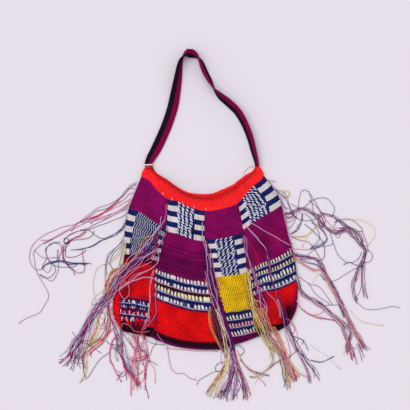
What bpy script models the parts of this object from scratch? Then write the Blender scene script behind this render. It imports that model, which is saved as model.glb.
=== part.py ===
"""A looped string bag (bilum), laid flat on its back with its yarn ends spread out.

The bag is two layers of four gores each, closed by a red rim at the mouth. A two-coloured band
is its strap. Yarn ends hang from the seams and side edges as fringes. Each gore, rim, fringe,
the strap, its tie and the small disc is one closed solid of its own.

Units are metres. +Z is up and the layers lie on the plane z = 0. +Y runs from the foot of the
bag to the strap, and +X to the right as the bag is seen from above.
"""

import math
from typing import NamedTuple

import bmesh
import bpy
from mathutils import Vector
from mathutils.bvhtree import BVHTree

MM = 0.001

# Driving sizes
CLOTH_THICKNESS = 2.5 * MM
LAYER_GAP = 0.35 * MM
PIECE_INSET = 0.3 * MM
MOUTH_INSET = 0.6 * MM
INNER_HEIGHT = 8.0 * MM
SIDE_RISE = 0.22
FOOT_RISE = 0.14
SEAM_DEPTH = 1.3 * MM
SEAM_WIDTH = 7.0 * MM
GORE_CROWN = 1.2 * MM
MOUTH_FADE = 0.08
BACK_RIM_RISE = 9.0 * MM
GORE_COLUMNS = 6
GORE_ROWS = 14
RIM_END_STEPS = 3
STRAP_THICKNESS = 2.6 * MM
STRAP_STEP = 9.0 * MM
TIE_RADIUS = 1.1 * MM
TIE_PLACE = 0.45
TIE_GAP = 0.7 * MM
TIE_POINTS = 20
TIE_SQUARENESS = 0.4
DISC_RADIUS = 7.3 * MM
DISC_THICKNESS = 2.0 * MM
DISC_PLACE = (155.0 * MM, 66.0 * MM)
STRAND_THICKNESS = 1.6 * MM
STRAND_LIFT = 0.45 * MM
FLOOR_LIFT = 0.15 * MM
FRINGE_STEP = 18.0 * MM
FRINGE_COVER = 14.0 * MM
ROOT_COVER = 2.6 * MM
HEAD_COVER = 5.0 * MM
ROOT_INSET = 2.5 * MM
LEAST_SLIT = 0.01
SPINE_STEPS = 1


class RimStation(NamedTuple):
    """One place along the mouth: the rim's upper edge and its lower edge, in millimetres."""

    top_x: float
    top_y: float
    low_x: float
    low_y: float


RIM = (
    RimStation(-115.0, 121.2, -128.8, 118.8),
    RimStation(-112.0, 111.0, -134.0, 102.4),
    RimStation(-102.0, 100.6, -118.0, 92.0),
    RimStation(-84.0, 88.4, -105.0, 75.0),
    RimStation(-66.0, 75.0, -83.0, 56.0),
    RimStation(-48.0, 64.0, -62.0, 51.4),
    RimStation(-30.0, 57.6, -38.0, 40.0),
    RimStation(-8.0, 54.4, -8.0, 32.8),
    RimStation(14.0, 56.8, 23.0, 36.0),
    RimStation(40.0, 68.0, 57.0, 48.0),
    RimStation(56.0, 78.0, 73.0, 65.0),
    RimStation(75.0, 93.4, 87.0, 81.0),
    RimStation(89.0, 107.0, 108.0, 100.0),
    RimStation(94.6, 121.0, 101.6, 120.0),
)
SEAM_STATIONS = (1, 4, 7, 9, 12)

# Inner points of each seam from the rim down, in millimetres; the last one is its foot.
FRONT_SEAMS = (
    (
        (-146, 74), (-156, 48), (-162, 30), (-167, 4), (-169.4, -26), (-170.4, -58),
        (-173, -90), (-176, -126), (-177.4, -162), (-177, -190), (-173, -208),
    ),
    (
        (-83.4, 24), (-86, -6), (-92, -36), (-99, -60), (-106, -86), (-108, -114),
        (-108, -142), (-106, -170), (-105, -194), (-116, -220),
    ),
    (
        (-8.6, 4), (-8, -26), (-5.4, -62), (-2, -100), (4, -140), (9.4, -172),
        (14, -206), (19, -245.2),
    ),
    (
        (63, 20), (68, -8), (72, -46), (76, -88), (80.6, -128), (85.4, -164),
        (91, -192), (98, -219),
    ),
    (
        (122, 86), (135, 70), (142, 54), (147, 32), (153, 6), (160, -22), (166.6, -46),
        (172, -72), (176.6, -104), (176.8, -136), (174, -166), (159, -196),
    ),
)
# The back layer's left side swells out past the front's near its foot.
BACK_LEFT_SEAM = (
    (-146, 74), (-156, 48), (-162, 30), (-167, 4), (-169.4, -26), (-171.6, -58),
    (-181, -98), (-189, -126), (-192.6, -152), (-191.4, -174), (-184, -192), (-173, -208),
)
# Points of each gore's foot between its two seams, in millimetres.
FOOT_POINTS = (
    ((-144, -214),),
    ((-92.4, -230.8), (-63.2, -239.6), (-24, -244.6)),
    ((52, -235), (74, -228)),
    ((114, -209), (136, -208), (150, -201)),
)


class Fold(NamedTuple):
    """A soft ridge or trough in the front layer: its middle, its turn and its sizes in millimetres."""

    x: float
    y: float
    turn_deg: float
    length: float
    width: float
    height: float


FOLDS = (
    Fold(40, 17, 90, 50, 8, -0.9),
    Fold(-44, -222, -11, 120, 12, 0.8),
    Fold(156, -160, 86, 56, 9, -2.0),
    Fold(168, -150, 86, 50, 8, 1.2),
    Fold(-138, -70, 20, 56, 11, 1.4),
    Fold(-144, -146, -4, 64, 10, -1.2),
    Fold(94, -82, -45, 50, 10, -1.0),
    Fold(-52, -56, -15, 84, 20, 0.9),
    Fold(52, -126, 75, 90, 16, 0.9),
    Fold(120, -28, 30, 70, 14, 1.0),
)


class StrapStation(NamedTuple):
    """One place along the strap: its middle, how far it leans from flat, its width and its lift."""

    x: float
    y: float
    lean_deg: float
    width: float
    lift: float


STRAP = (
    StrapStation(-122.0, 122.0, 0, 13.0, 2.8),
    StrapStation(-121.4, 128.0, 0, 13.5, 2.8),
    StrapStation(-116.0, 139.0, 2, 17.0, 1.2),
    StrapStation(-104.5, 159.4, 4, 20.0, 0.0),
    StrapStation(-87.0, 198.0, 4, 20.5, 0.0),
    StrapStation(-73.6, 237.0, 6, 20.5, 0.0),
    StrapStation(-66.6, 271.0, 28, 20.0, 0.0),
    StrapStation(-61.4, 302.0, 50, 20.0, 0.0),
    StrapStation(-58.0, 324.0, 66, 19.5, 0.0),
    StrapStation(-53.6, 337.0, 84, 19.0, 0.0),
    StrapStation(-46.5, 345.5, 122, 18.5, 0.0),
    StrapStation(-38.5, 348.4, 146, 18.5, 0.0),
    StrapStation(-30.0, 346.5, 164, 18.5, 0.6),
    StrapStation(-22.6, 340.5, 256, 18.5, 0.0),
    StrapStation(-16.4, 331.0, 292, 18.5, 0.0),
    StrapStation(-8.4, 311.0, 301, 19.0, 0.0),
    StrapStation(1.6, 292.0, 294, 19.0, 0.0),
    StrapStation(10.8, 275.6, 270, 19.0, 0.0),
    StrapStation(23.4, 261.4, 240, 19.5, 0.0),
    StrapStation(40.4, 247.4, 230, 20.0, 0.0),
    StrapStation(57.6, 230.0, 230, 20.0, 0.0),
    StrapStation(72.0, 206.0, 231, 20.0, 0.0),
    StrapStation(82.6, 179.4, 231, 19.0, 0.0),
    StrapStation(90.4, 152.0, 234, 18.0, 0.0),
    StrapStation(95.4, 134.0, 238, 15.0, 0.4),
    StrapStation(97.6, 121.8, 240, 12.0, 0.8),
)


class FringeRow(NamedTuple):
    """One cross line of a fringe, from its first strand to its last, and how far its teeth part."""

    first_x: float
    first_y: float
    last_x: float
    last_y: float
    slit: float


class Fringe(NamedTuple):
    """A comb of yarn ends: its teeth, the rows it runs through, and the edge it may grow from."""

    name: str
    colour: tuple
    reach: tuple
    rows: tuple
    root: tuple = ()


PINK = (0.42, 0.10, 0.28, 1.0)
PURPLE = (0.25, 0.04, 0.22, 1.0)
RED_YARN = (0.70, 0.08, 0.10, 1.0)
OLIVE = (0.58, 0.50, 0.22, 1.0)
NAVY_YARN = (0.12, 0.13, 0.32, 1.0)

# reach is how many rows each tooth runs through. A root is the seam that the fringe grows from,
# then the shares of that seam where its first and last teeth stand.
FRINGES = (
    Fringe(
        "fringe_left_side", NAVY_YARN, (4, 4),
        (
            FringeRow(-188, -42, -180, -62, 0.3),
            FringeRow(-202, -58, -192, -74, 0.4),
            FringeRow(-208, -82, -198, -90, 0.5),
            FringeRow(-210, -108, -200, -111, 0.5),
        ),
        (0, 0.43, 0.53),
    ),
    Fringe(
        "fringe_left_upper", PINK, (11, 8, 8, 7),
        (
            FringeRow(-194, 52, -190, -16, 0.6),
            FringeRow(-234, 28, -226, -32, 0.6),
            FringeRow(-266, 8, -254, -26, 0.5),
            FringeRow(-298, -6, -286, -34, 0.3),
            FringeRow(-326, -20, -314, -46, 0.3),
            FringeRow(-346, -38, -324, -62, 0.4),
            FringeRow(-358, -66, -330, -78, 0.4),
            FringeRow(-350, -94, -318, -106, 0.4),
            FringeRow(-326, -140, -306, -140, 0.5),
            FringeRow(-340, -170, -318, -180, 0.5),
            FringeRow(-382, -192, -376, -208, 0.5),
        ),
        (0, 0.06, 0.40),
    ),
    Fringe(
        "fringe_left_seam", PURPLE, (11, 11, 11, 10),
        (
            FringeRow(-96, 24, -84, 20, 0.0),
            FringeRow(-104, -16, -90, -22, 0.0),
            FringeRow(-120, -46, -102, -62, 0.0),
            FringeRow(-150, -62, -136, -86, 0.0),
            FringeRow(-178, -86, -164, -114, 0.0),
            FringeRow(-202, -116, -186, -142, 0.2),
            FringeRow(-226, -146, -208, -170, 0.3),
            FringeRow(-246, -178, -228, -200, 0.4),
            FringeRow(-266, -210, -244, -228, 0.5),
            FringeRow(-286, -238, -250, -254, 0.5),
            FringeRow(-302, -264, -246, -290, 0.6),
        ),
    ),
    Fringe(
        "fringe_left_foot", RED_YARN, (6, 7, 7, 7, 6),
        (
            FringeRow(-171, -201, -116, -211, 0.0),
            FringeRow(-176, -215, -119, -226, 0.3),
            FringeRow(-190, -238, -126, -246, 0.5),
            FringeRow(-194, -266, -124, -272, 0.5),
            FringeRow(-184, -294, -120, -300, 0.5),
            FringeRow(-172, -318, -114, -322, 0.5),
            FringeRow(-160, -341, -118, -345, 0.6),
        ),
    ),
    Fringe(
        "fringe_middle_seam", OLIVE, (11, 11, 11, 11, 11),
        (
            FringeRow(-11, -32, 0, -32, 0.0),
            FringeRow(-8, -70, 6, -70, 0.0),
            FringeRow(-2, -116, 14, -112, 0.0),
            FringeRow(4, -156, 22, -150, 0.0),
            FringeRow(6, -190, 34, -184, 0.0),
            FringeRow(16, -222, 46, -216, 0.0),
            FringeRow(28, -250, 58, -244, 0.2),
            FringeRow(26, -278, 62, -274, 0.4),
            FringeRow(14, -306, 68, -300, 0.5),
            FringeRow(0, -332, 76, -326, 0.6),
            FringeRow(-6, -354, 80, -350, 0.6),
        ),
    ),
    Fringe(
        "fringe_right_seam", OLIVE, (11, 11, 11, 10),
        (
            FringeRow(66, -10, 76, -6, 0.0),
            FringeRow(72, -50, 86, -42, 0.0),
            FringeRow(76, -90, 98, -82, 0.0),
            FringeRow(80, -126, 108, -118, 0.0),
            FringeRow(86, -162, 118, -152, 0.0),
            FringeRow(98, -196, 132, -186, 0.0),
            FringeRow(114, -226, 148, -216, 0.2),
            FringeRow(132, -256, 164, -246, 0.4),
            FringeRow(144, -282, 176, -274, 0.5),
            FringeRow(150, -306, 184, -298, 0.5),
            FringeRow(154, -328, 188, -316, 0.6),
        ),
    ),
    Fringe(
        "fringe_right_gore", PURPLE, (11, 11, 10),
        (
            FringeRow(76, 2, 84, 8, 0.0),
            FringeRow(98, -32, 106, -24, 0.0),
            FringeRow(111, -58, 119, -54, 0.0),
            FringeRow(118, -96, 127, -94, 0.0),
            FringeRow(130, -132, 140, -128, 0.0),
            FringeRow(142, -166, 154, -160, 0.0),
            FringeRow(152, -196, 166, -188, 0.2),
            FringeRow(168, -226, 182, -218, 0.4),
            FringeRow(184, -252, 200, -242, 0.4),
            FringeRow(192, -280, 214, -268, 0.5),
            FringeRow(198, -308, 224, -294, 0.5),
        ),
    ),
    Fringe(
        "fringe_right_top", PURPLE, (3,),
        (
            FringeRow(154, 72, 149, 62, 0.0),
            FringeRow(161, 61, 155, 54, 0.0),
            FringeRow(165, 51, 160, 46, 0.0),
        ),
        (4, 0.085, 0.115),
    ),
    Fringe(
        "fringe_right_upper", PINK, (15, 12, 12, 11),
        (
            FringeRow(164, 30, 174, -6, 0.6),
            FringeRow(188, 42, 196, 10, 0.6),
            FringeRow(210, 40, 214, 2, 0.6),
            FringeRow(234, 24, 226, -14, 0.5),
            FringeRow(258, 6, 250, -22, 0.3),
            FringeRow(282, 0, 274, -24, 0.2),
            FringeRow(304, -16, 290, -38, 0.2),
            FringeRow(318, -42, 298, -54, 0.2),
            FringeRow(316, -70, 292, -74, 0.3),
            FringeRow(314, -102, 288, -102, 0.4),
            FringeRow(316, -130, 290, -130, 0.5),
            FringeRow(318, -150, 294, -156, 0.5),
            FringeRow(328, -160, 318, -182, 0.5),
            FringeRow(354, -162, 354, -182, 0.5),
            FringeRow(384, -158, 384, -178, 0.5),
        ),
        (4, 0.20, 0.46),
    ),
    Fringe(
        "fringe_right_lower", NAVY_YARN, (10, 10, 10, 10),
        (
            FringeRow(192, -64, 182, -118, 0.6),
            FringeRow(216, -74, 194, -142, 0.6),
            FringeRow(234, -86, 218, -154, 0.6),
            FringeRow(248, -108, 238, -168, 0.5),
            FringeRow(260, -134, 254, -182, 0.4),
            FringeRow(274, -162, 264, -194, 0.3),
            FringeRow(288, -188, 272, -212, 0.3),
            FringeRow(300, -210, 276, -230, 0.4),
            FringeRow(312, -232, 282, -250, 0.5),
            FringeRow(320, -250, 290, -274, 0.6),
        ),
        (4, 0.50, 0.69),
    ),
)

# Base colours of the pieces
RED = (0.80, 0.02, 0.03, 1.0)
MAGENTA = (0.20, 0.006, 0.10, 1.0)
CREAM = (0.78, 0.74, 0.76, 1.0)
YELLOW = (0.62, 0.43, 0.02, 1.0)
STRAP_DARK = (0.03, 0.012, 0.022, 1.0)
SHELL = (0.72, 0.62, 0.48, 1.0)
FRONT_COLOURS = (MAGENTA, RED, YELLOW, MAGENTA)


def clear_scene():
    """Remove every object that the file opened with."""
    for obj in list(bpy.data.objects):
        bpy.data.objects.remove(obj, do_unlink=True)


def finish(name, colour, roughness=0.9):
    """Return a plain Principled material."""
    material = bpy.data.materials.new(name)
    material.use_nodes = True
    shader = material.node_tree.nodes["Principled BSDF"]
    shader.inputs["Base Color"].default_value = colour
    shader.inputs["Roughness"].default_value = roughness
    material.diffuse_color = colour
    return material


def smooth_step(share):
    """Return an eased 0 to 1 for a share from 0 to 1."""
    share = min(max(share, 0.0), 1.0)
    return share * share * (3.0 - 2.0 * share)


def spline_at(points, place):
    """Return the point of a Catmull-Rom curve at a place counted in control points."""
    last = len(points) - 1
    index = min(max(int(math.floor(place)), 0), last - 1)
    t = place - index
    before = points[index - 1] if index > 0 else 2 * points[0] - points[1]
    after = points[index + 2] if index + 2 <= last else 2 * points[last] - points[last - 1]
    start, end = points[index], points[index + 1]
    return 0.5 * (
        2 * start
        + (end - before) * t
        + (2 * before - 5 * start + 4 * end - after) * t**2
        + (3 * start - before - 3 * end + after) * t**3
    )


class Route:
    """A smooth curve through points, read by the share of its length."""

    SAMPLES_PER_SPAN = 12

    def __init__(self, points):
        self.points = [Vector(point) for point in points]
        steps = (len(self.points) - 1) * self.SAMPLES_PER_SPAN
        places = [step / self.SAMPLES_PER_SPAN for step in range(steps + 1)]
        self.samples = [spline_at(self.points, place) for place in places]
        self.reach = [0.0]
        for start, end in zip(self.samples, self.samples[1:]):
            self.reach.append(self.reach[-1] + (end - start).length)
        self.length = self.reach[-1]

    def at(self, share):
        """Return the point at a share of the length from 0 to 1."""
        goal = min(max(share, 0.0), 1.0) * self.length
        for index in range(1, len(self.reach)):
            if self.reach[index] >= goal:
                break
        span = self.reach[index] - self.reach[index - 1]
        part = (goal - self.reach[index - 1]) / span if span else 0.0
        return self.samples[index - 1].lerp(self.samples[index], part)


def rim_edges(place):
    """Return the front rim's upper and lower edge points at a place counted in stations."""
    tops = [Vector((station.top_x, station.top_y)) * MM for station in RIM]
    lows = [Vector((station.low_x, station.low_y)) * MM for station in RIM]
    return spline_at(tops, place), spline_at(lows, place)


def back_rise(place):
    """Return how far the back rim stands above the front one along the mouth."""
    share = place / (len(RIM) - 1)
    return Vector((0.0, BACK_RIM_RISE * math.sin(math.pi * share) ** 0.8))


def across_bag(place):
    """Return the share across the bag, 0 at its left seam to 1 at its right, at a rim place."""
    for gore in range(len(SEAM_STATIONS) - 1):
        start, end = SEAM_STATIONS[gore], SEAM_STATIONS[gore + 1]
        if place <= end:
            part = max(place - start, 0.0) / (end - start)
            return (gore + part) / (len(SEAM_STATIONS) - 1)
    return 1.0


def fold_height(x, y):
    """Return the height that the named folds add at a point of the front layer."""
    height = 0.0
    for fold in FOLDS:
        turn = math.radians(fold.turn_deg)
        dx, dy = x / MM - fold.x, y / MM - fold.y
        along = dx * math.cos(turn) + dy * math.sin(turn)
        aside = dy * math.cos(turn) - dx * math.sin(turn)
        reach = (along / (0.5 * fold.length)) ** 4 + (aside / fold.width) ** 2
        height += fold.height * MM * math.exp(-reach)
    return height


def swell(across, down):
    """Return how far the front layer stands off the back one, from 0 at its edges to 1."""
    side = min(min(across, 1.0 - across) / SIDE_RISE, 1.0)
    foot = min((1.0 - down) / FOOT_RISE, 1.0)
    return (1.0 - (1.0 - side) ** 2) * (1.0 - (1.0 - foot) ** 2)


def front_height(across, down, from_seam, in_gore, x, y):
    """Return the height of the front layer's upper face."""
    base = CLOTH_THICKNESS + LAYER_GAP + CLOTH_THICKNESS
    full = swell(across, down)
    fade = smooth_step(down / MOUTH_FADE)
    valley = SEAM_DEPTH * math.exp(-((from_seam / SEAM_WIDTH) ** 2))
    crown = GORE_CROWN * math.sin(math.pi * in_gore)
    relief = crown - valley + fold_height(x, y)
    return base + INNER_HEIGHT * full + relief * full * fade


class Gore:
    """One gore of a layer: a patch between two seams, the rim and its foot."""

    def __init__(self, index, back=False):
        self.index = index
        self.back = back
        self.stations = SEAM_STATIONS[index], SEAM_STATIONS[index + 1]
        self.left = self.seam(index)
        self.right = self.seam(index + 1)
        feet = [self.left.at(1), *self.foot_points(), self.right.at(1)]
        self.foot = Route(feet)

    def top(self, share):
        """Return the point of the top edge, where the rim is sewn on."""
        place = self.stations[0] + (self.stations[1] - self.stations[0]) * share
        low = rim_edges(place)[1]
        return low + back_rise(place) if self.back else low

    def seam(self, index):
        """Return the route of one seam, from the rim to the foot."""
        points = BACK_LEFT_SEAM if self.back and index == 0 else FRONT_SEAMS[index]
        station = SEAM_STATIONS[index]
        start = rim_edges(station)[1]
        if self.back:
            start = start + back_rise(station)
        return Route([start, *(Vector(point) * MM for point in points)])

    def foot_points(self):
        """Return the foot's points between the two seams."""
        return [Vector(point) * MM for point in FOOT_POINTS[self.index]]

    def at(self, along, down):
        """Return the plan point at a share across and a share down the gore."""
        left, right = self.left.at(down), self.right.at(down)
        top, foot = self.top(along), self.foot.at(along)
        top_line = self.top(0).lerp(self.top(1), along)
        foot_line = self.left.at(1).lerp(self.right.at(1), along)
        return top.lerp(foot, down) + left.lerp(right, along) - top_line.lerp(foot_line, down)

    def place(self, along, down):
        """Return the point of the upper face, a little inside the gore's own edges."""
        width = (self.left.at(down) - self.right.at(down)).length
        aside = PIECE_INSET / width
        below = MOUTH_INSET / self.left.length
        along = aside + (1.0 - 2.0 * aside) * along
        down = below + (1.0 - below) * down
        point = self.at(along, down)
        if self.back:
            return Vector((point.x, point.y, CLOTH_THICKNESS))
        across = (self.index + along) / len(FRONT_COLOURS)
        from_left = along * width if self.index > 0 else width
        from_right = (1.0 - along) * width if self.index < len(FRONT_COLOURS) - 1 else width
        height = front_height(across, down, min(from_left, from_right), along, point.x, point.y)
        return Vector((point.x, point.y, height))


def add_object(name, mesh, colour, collection):
    """Put a mesh into the collection as an object with its own finish."""
    mesh.materials.append(finish(name + "_finish", colour))
    obj = bpy.data.objects.new(name, mesh)
    collection.objects.link(obj)
    return obj


def face_up(sheet):
    """Turn an open sheet's faces so that they look up on the whole."""
    bmesh.ops.recalc_face_normals(sheet, faces=sheet.faces)
    if sum(face.normal.z * face.calc_area() for face in sheet.faces) < 0:
        bmesh.ops.reverse_faces(sheet, faces=sheet.faces)


def thicken(obj, thickness, offset):
    """Give an open sheet its thickness."""
    solidify = obj.modifiers.new("thickness", "SOLIDIFY")
    solidify.thickness = thickness
    solidify.offset = offset
    return obj


def grid_sheet(name, shape, place, colour, collection, thickness=CLOTH_THICKNESS, offset=-1.0):
    """Lay a grid over a mapped surface and thicken it.

    shape is the grid's columns and rows. place maps a share across and a share down to a point.
    """
    columns, rows = shape
    sheet = bmesh.new()
    bmesh.ops.create_grid(sheet, x_segments=columns, y_segments=rows, size=0.5)
    for vert in sheet.verts:
        vert.co = place(vert.co.x + 0.5, 0.5 - vert.co.y)
    sheet.normal_update()
    mesh = bpy.data.meshes.new(name)
    sheet.to_mesh(mesh)
    sheet.free()
    return thicken(add_object(name, mesh, colour, collection), thickness, offset)


def build_gores(collection):
    """Build the four gores of each layer and return them."""
    pieces = []
    for index, colour in enumerate(FRONT_COLOURS):
        front = Gore(index)
        back = Gore(index, back=True)
        number = index + 1
        shape = (GORE_COLUMNS, GORE_ROWS)
        pieces.append(grid_sheet(f"front_gore_{number}", shape, front.place, colour, collection))
        pieces.append(grid_sheet(f"back_gore_{number}", shape, back.place, colour, collection))
    return pieces


def rim_places(columns):
    """Return the places along the mouth where a rim has a row, matching the gores' columns."""
    places = [step / RIM_END_STEPS for step in range(RIM_END_STEPS)]
    for start, end in zip(SEAM_STATIONS, SEAM_STATIONS[1:]):
        places += [start + (end - start) * step / columns for step in range(columns)]
    last, end = SEAM_STATIONS[-1], len(RIM) - 1
    return places + [last + (end - last) * step / RIM_END_STEPS for step in range(RIM_END_STEPS + 1)]


def build_rim(name, back, collection):
    """Build one side of the mouth's rim as a band along its stations."""
    places = rim_places(GORE_COLUMNS)

    def place(along, down):
        step = along * (len(places) - 1)
        index = min(int(round(step)), len(places) - 1)
        station = places[index]
        top, low = rim_edges(station)
        if back:
            rise = back_rise(station)
            top, low = top + rise, low + rise
        inset = PIECE_INSET / (top - low).length
        point = top.lerp(low, down * (1.0 - inset))
        if back:
            return Vector((point.x, point.y, CLOTH_THICKNESS))
        height = front_height(across_bag(station), 0.0, 1.0, 0.0, point.x, point.y)
        return Vector((point.x, point.y, height))

    return grid_sheet(name, (len(places) - 1, 2), place, RED, collection)


class StrapRoute:
    """The strap's middle line with its lean, width and lift along it."""

    def __init__(self):
        rows = [Vector((row.x, row.y, row.lean_deg, row.width)) for row in STRAP]
        self.rows = rows
        self.lifts = [Vector((row.lift, 0.0)) for row in STRAP]
        self.middle = Route([Vector((row.x, row.y)) * MM for row in STRAP])

    def at(self, place):
        """Return the plan point, lean, width and lift at a place counted in stations."""
        row = spline_at(self.rows, place)
        lift = max(spline_at(self.lifts, place).x, 0.0)
        return Vector((row.x, row.y)) * MM, math.radians(row.z), row.w * MM, lift * MM

    def section(self, place):
        """Return the middle point and the vector across the strap, towards its outer edge."""
        point, lean, width, lift = self.at(place)
        step = 0.05
        ahead = self.at(min(place + step, len(STRAP) - 1))[0]
        behind = self.at(max(place - step, 0.0))[0]
        along = (ahead - behind).normalized()
        outward = Vector((-along.y, along.x, 0.0))
        across = outward * math.cos(lean) + Vector((0.0, 0.0, math.sin(lean)))
        low = 0.5 * width * abs(math.sin(lean)) + 0.5 * STRAP_THICKNESS * abs(math.cos(lean))
        middle = Vector((point.x, point.y, low + lift + FLOOR_LIFT))
        return middle, across * width


def build_strap(collection):
    """Build the strap as a ribbon that tips over and twists along its loop."""
    route = StrapRoute()
    steps = round(route.middle.length / STRAP_STEP)

    def place(along, down):
        middle, across = route.section(along * (len(STRAP) - 1))
        return middle + across * (0.5 - down)

    return grid_sheet(
        "strap", (steps, 1), place, STRAP_DARK, collection, thickness=STRAP_THICKNESS, offset=0.0
    )


def build_tie(collection):
    """Build the cord ring that lashes the strap's left end, as a closed tube round it."""
    middle, across = StrapRoute().section(TIE_PLACE)
    half_width = 0.5 * across.length + TIE_GAP + TIE_RADIUS
    half_height = 0.5 * STRAP_THICKNESS + TIE_GAP + TIE_RADIUS
    curve = bpy.data.curves.new("strap_tie", "CURVE")
    curve.dimensions = "3D"
    curve.bevel_depth = TIE_RADIUS
    curve.bevel_resolution = 2
    spline = curve.splines.new("POLY")
    spline.points.add(TIE_POINTS - 1)
    spline.use_cyclic_u = True
    for index, point in enumerate(spline.points):
        turn = math.tau * index / TIE_POINTS
        aside = half_width * math.copysign(abs(math.cos(turn)) ** TIE_SQUARENESS, math.cos(turn))
        above = half_height * math.copysign(abs(math.sin(turn)) ** TIE_SQUARENESS, math.sin(turn))
        place = middle + across.normalized() * aside + Vector((0.0, 0.0, above))
        point.co = (place.x, place.y, place.z, 1.0)
    curve.materials.append(finish("strap_tie_finish", CREAM))
    obj = bpy.data.objects.new("strap_tie", curve)
    collection.objects.link(obj)
    return obj


def build_disc(collection):
    """Build the small flat disc that lies under the yarn ends at the right edge."""
    disc = bmesh.new()
    bmesh.ops.create_cone(
        disc, cap_ends=True, segments=28,
        radius1=DISC_RADIUS, radius2=DISC_RADIUS, depth=DISC_THICKNESS,
    )
    mesh = bpy.data.meshes.new("disc")
    disc.to_mesh(mesh)
    disc.free()
    obj = add_object("disc", mesh, SHELL, collection)
    obj.location = (*DISC_PLACE, 0.5 * DISC_THICKNESS + FLOOR_LIFT)
    return obj


class Ground:
    """What the fringes lie on: the floor and every piece that was laid before."""

    RING = 8

    def __init__(self, pieces):
        self.trees = []
        for piece in pieces:
            self.add(piece)

    def add(self, piece):
        """Add one piece's evaluated surface."""
        bpy.context.view_layer.update()
        graph = bpy.context.evaluated_depsgraph_get()
        held = piece.evaluated_get(graph)
        mesh = held.to_mesh()
        verts = [piece.matrix_world @ vert.co for vert in mesh.vertices]
        faces = [tuple(face.vertices) for face in mesh.polygons]
        self.trees.append(BVHTree.FromPolygons(verts, faces))
        held.to_mesh_clear()

    def height(self, x, y):
        """Return the height of the highest surface at a plan point."""
        start = Vector((x, y, 1.0))
        hits = [tree.ray_cast(start, Vector((0.0, 0.0, -1.0)))[0] for tree in self.trees]
        return max([0.0, *(hit.z for hit in hits if hit)])

    def cover(self, point, radius):
        """Return the greatest height within a radius of a plan point."""
        found = self.height(point.x, point.y)
        for share in (0.5, 1.0):
            for index in range(self.RING):
                turn = math.tau * index / self.RING
                x = point.x + radius * share * math.cos(turn)
                y = point.y + radius * share * math.sin(turn)
                found = max(found, self.height(x, y))
        return found


class Comb:
    """The open sheet of one fringe: a spine along its edge, and teeth that part and meet again."""

    def __init__(self, fringe, seams, ground):
        self.fringe = fringe
        self.ground = ground
        self.teeth = len(fringe.reach)
        self.lines = self.make_lines(seams)
        self.slits = [row.slit for row in fringe.rows]
        if fringe.root:
            self.slits = [0.0, *self.slits]
        self.spans = len(self.slits) - 1
        self.steps = max(1, round(Route(self.lines[0]).length / self.spans / FRINGE_STEP))
        self.first_cover = ROOT_COVER if fringe.root else HEAD_COVER
        self.sheet = bmesh.new()
        self.placed = {}

    def make_roots(self, seams):
        """Return the points along the seam that the fringe grows from, just inside its edge."""
        seam_index, first, last = self.fringe.root
        seam = seams[seam_index]
        outward_x = -1.0 if seam_index == 0 else 1.0
        points = []
        for step in range(self.teeth + 1):
            share = first + (last - first) * step / self.teeth
            along = (seam.at(share + 0.01) - seam.at(share - 0.01)).normalized()
            outward = Vector((-along.y, along.x))
            if outward.x * outward_x < 0:
                outward = -outward
            points.append(seam.at(share) - outward * ROOT_INSET)
        return points

    def make_lines(self, seams):
        """Return the points of each line between and beside the teeth."""
        roots = self.make_roots(seams) if self.fringe.root else None
        lines = []
        for line in range(self.teeth + 1):
            points = [roots[line]] if roots else []
            for row in self.fringe.rows:
                first = Vector((row.first_x, row.first_y))
                last = Vector((row.last_x, row.last_y))
                points.append(first.lerp(last, line / self.teeth) * MM)
            lines.append(points)
        return lines

    def slit_at(self, step):
        """Return how far the teeth part at a step along the comb."""
        if step <= SPINE_STEPS:
            return 0.0
        place = step / self.steps
        index = min(int(place), self.spans - 1)
        return self.slits[index] + (self.slits[index + 1] - self.slits[index]) * (place - index)

    def corner(self, step, line, side):
        """Return the vertex at a step of a line, on the side of it that a tooth lies."""
        slit = self.slit_at(step)
        parted = slit > LEAST_SLIT
        key = (step, line, side if parted else 0)
        if key not in self.placed:
            place = step / self.steps
            point = spline_at(self.lines[line], place)
            if parted:
                point = point.lerp(spline_at(self.lines[line + side], place), 0.5 * slit)
            height = self.ground.cover(point, FRINGE_COVER if step > 0 else self.first_cover)
            lift = STRAND_LIFT if height > 0 else FLOOR_LIFT
            self.placed[key] = self.sheet.verts.new((point.x, point.y, height + lift))
        return self.placed[key]

    def make_mesh(self):
        """Return the open sheet as a mesh with its faces up."""
        rooted = 1 if self.fringe.root else 0
        for tooth, reach in enumerate(self.fringe.reach):
            spans = min(reach + rooted - 1, self.spans)
            for step in range(spans * self.steps):
                near = self.corner(step, tooth, 1), self.corner(step, tooth + 1, -1)
                far = self.corner(step + 1, tooth + 1, -1), self.corner(step + 1, tooth, 1)
                self.sheet.faces.new((*near, *far))
        face_up(self.sheet)
        mesh = bpy.data.meshes.new(self.fringe.name)
        self.sheet.to_mesh(mesh)
        self.sheet.free()
        return mesh


def build_fringe(fringe, seams, ground, collection):
    """Build one fringe as a single comb that lies over what is below it."""
    mesh = Comb(fringe, seams, ground).make_mesh()
    obj = add_object(fringe.name, mesh, fringe.colour, collection)
    thicken(obj, STRAND_THICKNESS, 1.0)
    ground.add(obj)
    return obj


def main():
    """Build the whole bag."""
    clear_scene()
    collection = bpy.data.collections.new("string_bag")
    bpy.context.scene.collection.children.link(collection)
    cloth = build_gores(collection)
    cloth.append(build_rim("front_rim", False, collection))
    cloth.append(build_rim("back_rim", True, collection))
    build_strap(collection)
    build_tie(collection)
    cloth.append(build_disc(collection))
    ground = Ground(cloth)
    seams = {0: Gore(0).left, 4: Gore(3).right}
    for fringe in FRINGES:
        build_fringe(fringe, seams, ground, collection)


main()
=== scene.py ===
"""Looks of a looped string bag, or bilum, lying flat on its back with its yarn ends spread out.

Every looped panel is a closed ground cloth with its stitches laid over it one by one, coloured
from charts written out below. Yarn ends are spun one by one along the routes of their hanks.
Sizes are in millimetres until a mesh is made. +Y runs from the foot of the bag to its strap.
"""

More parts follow.
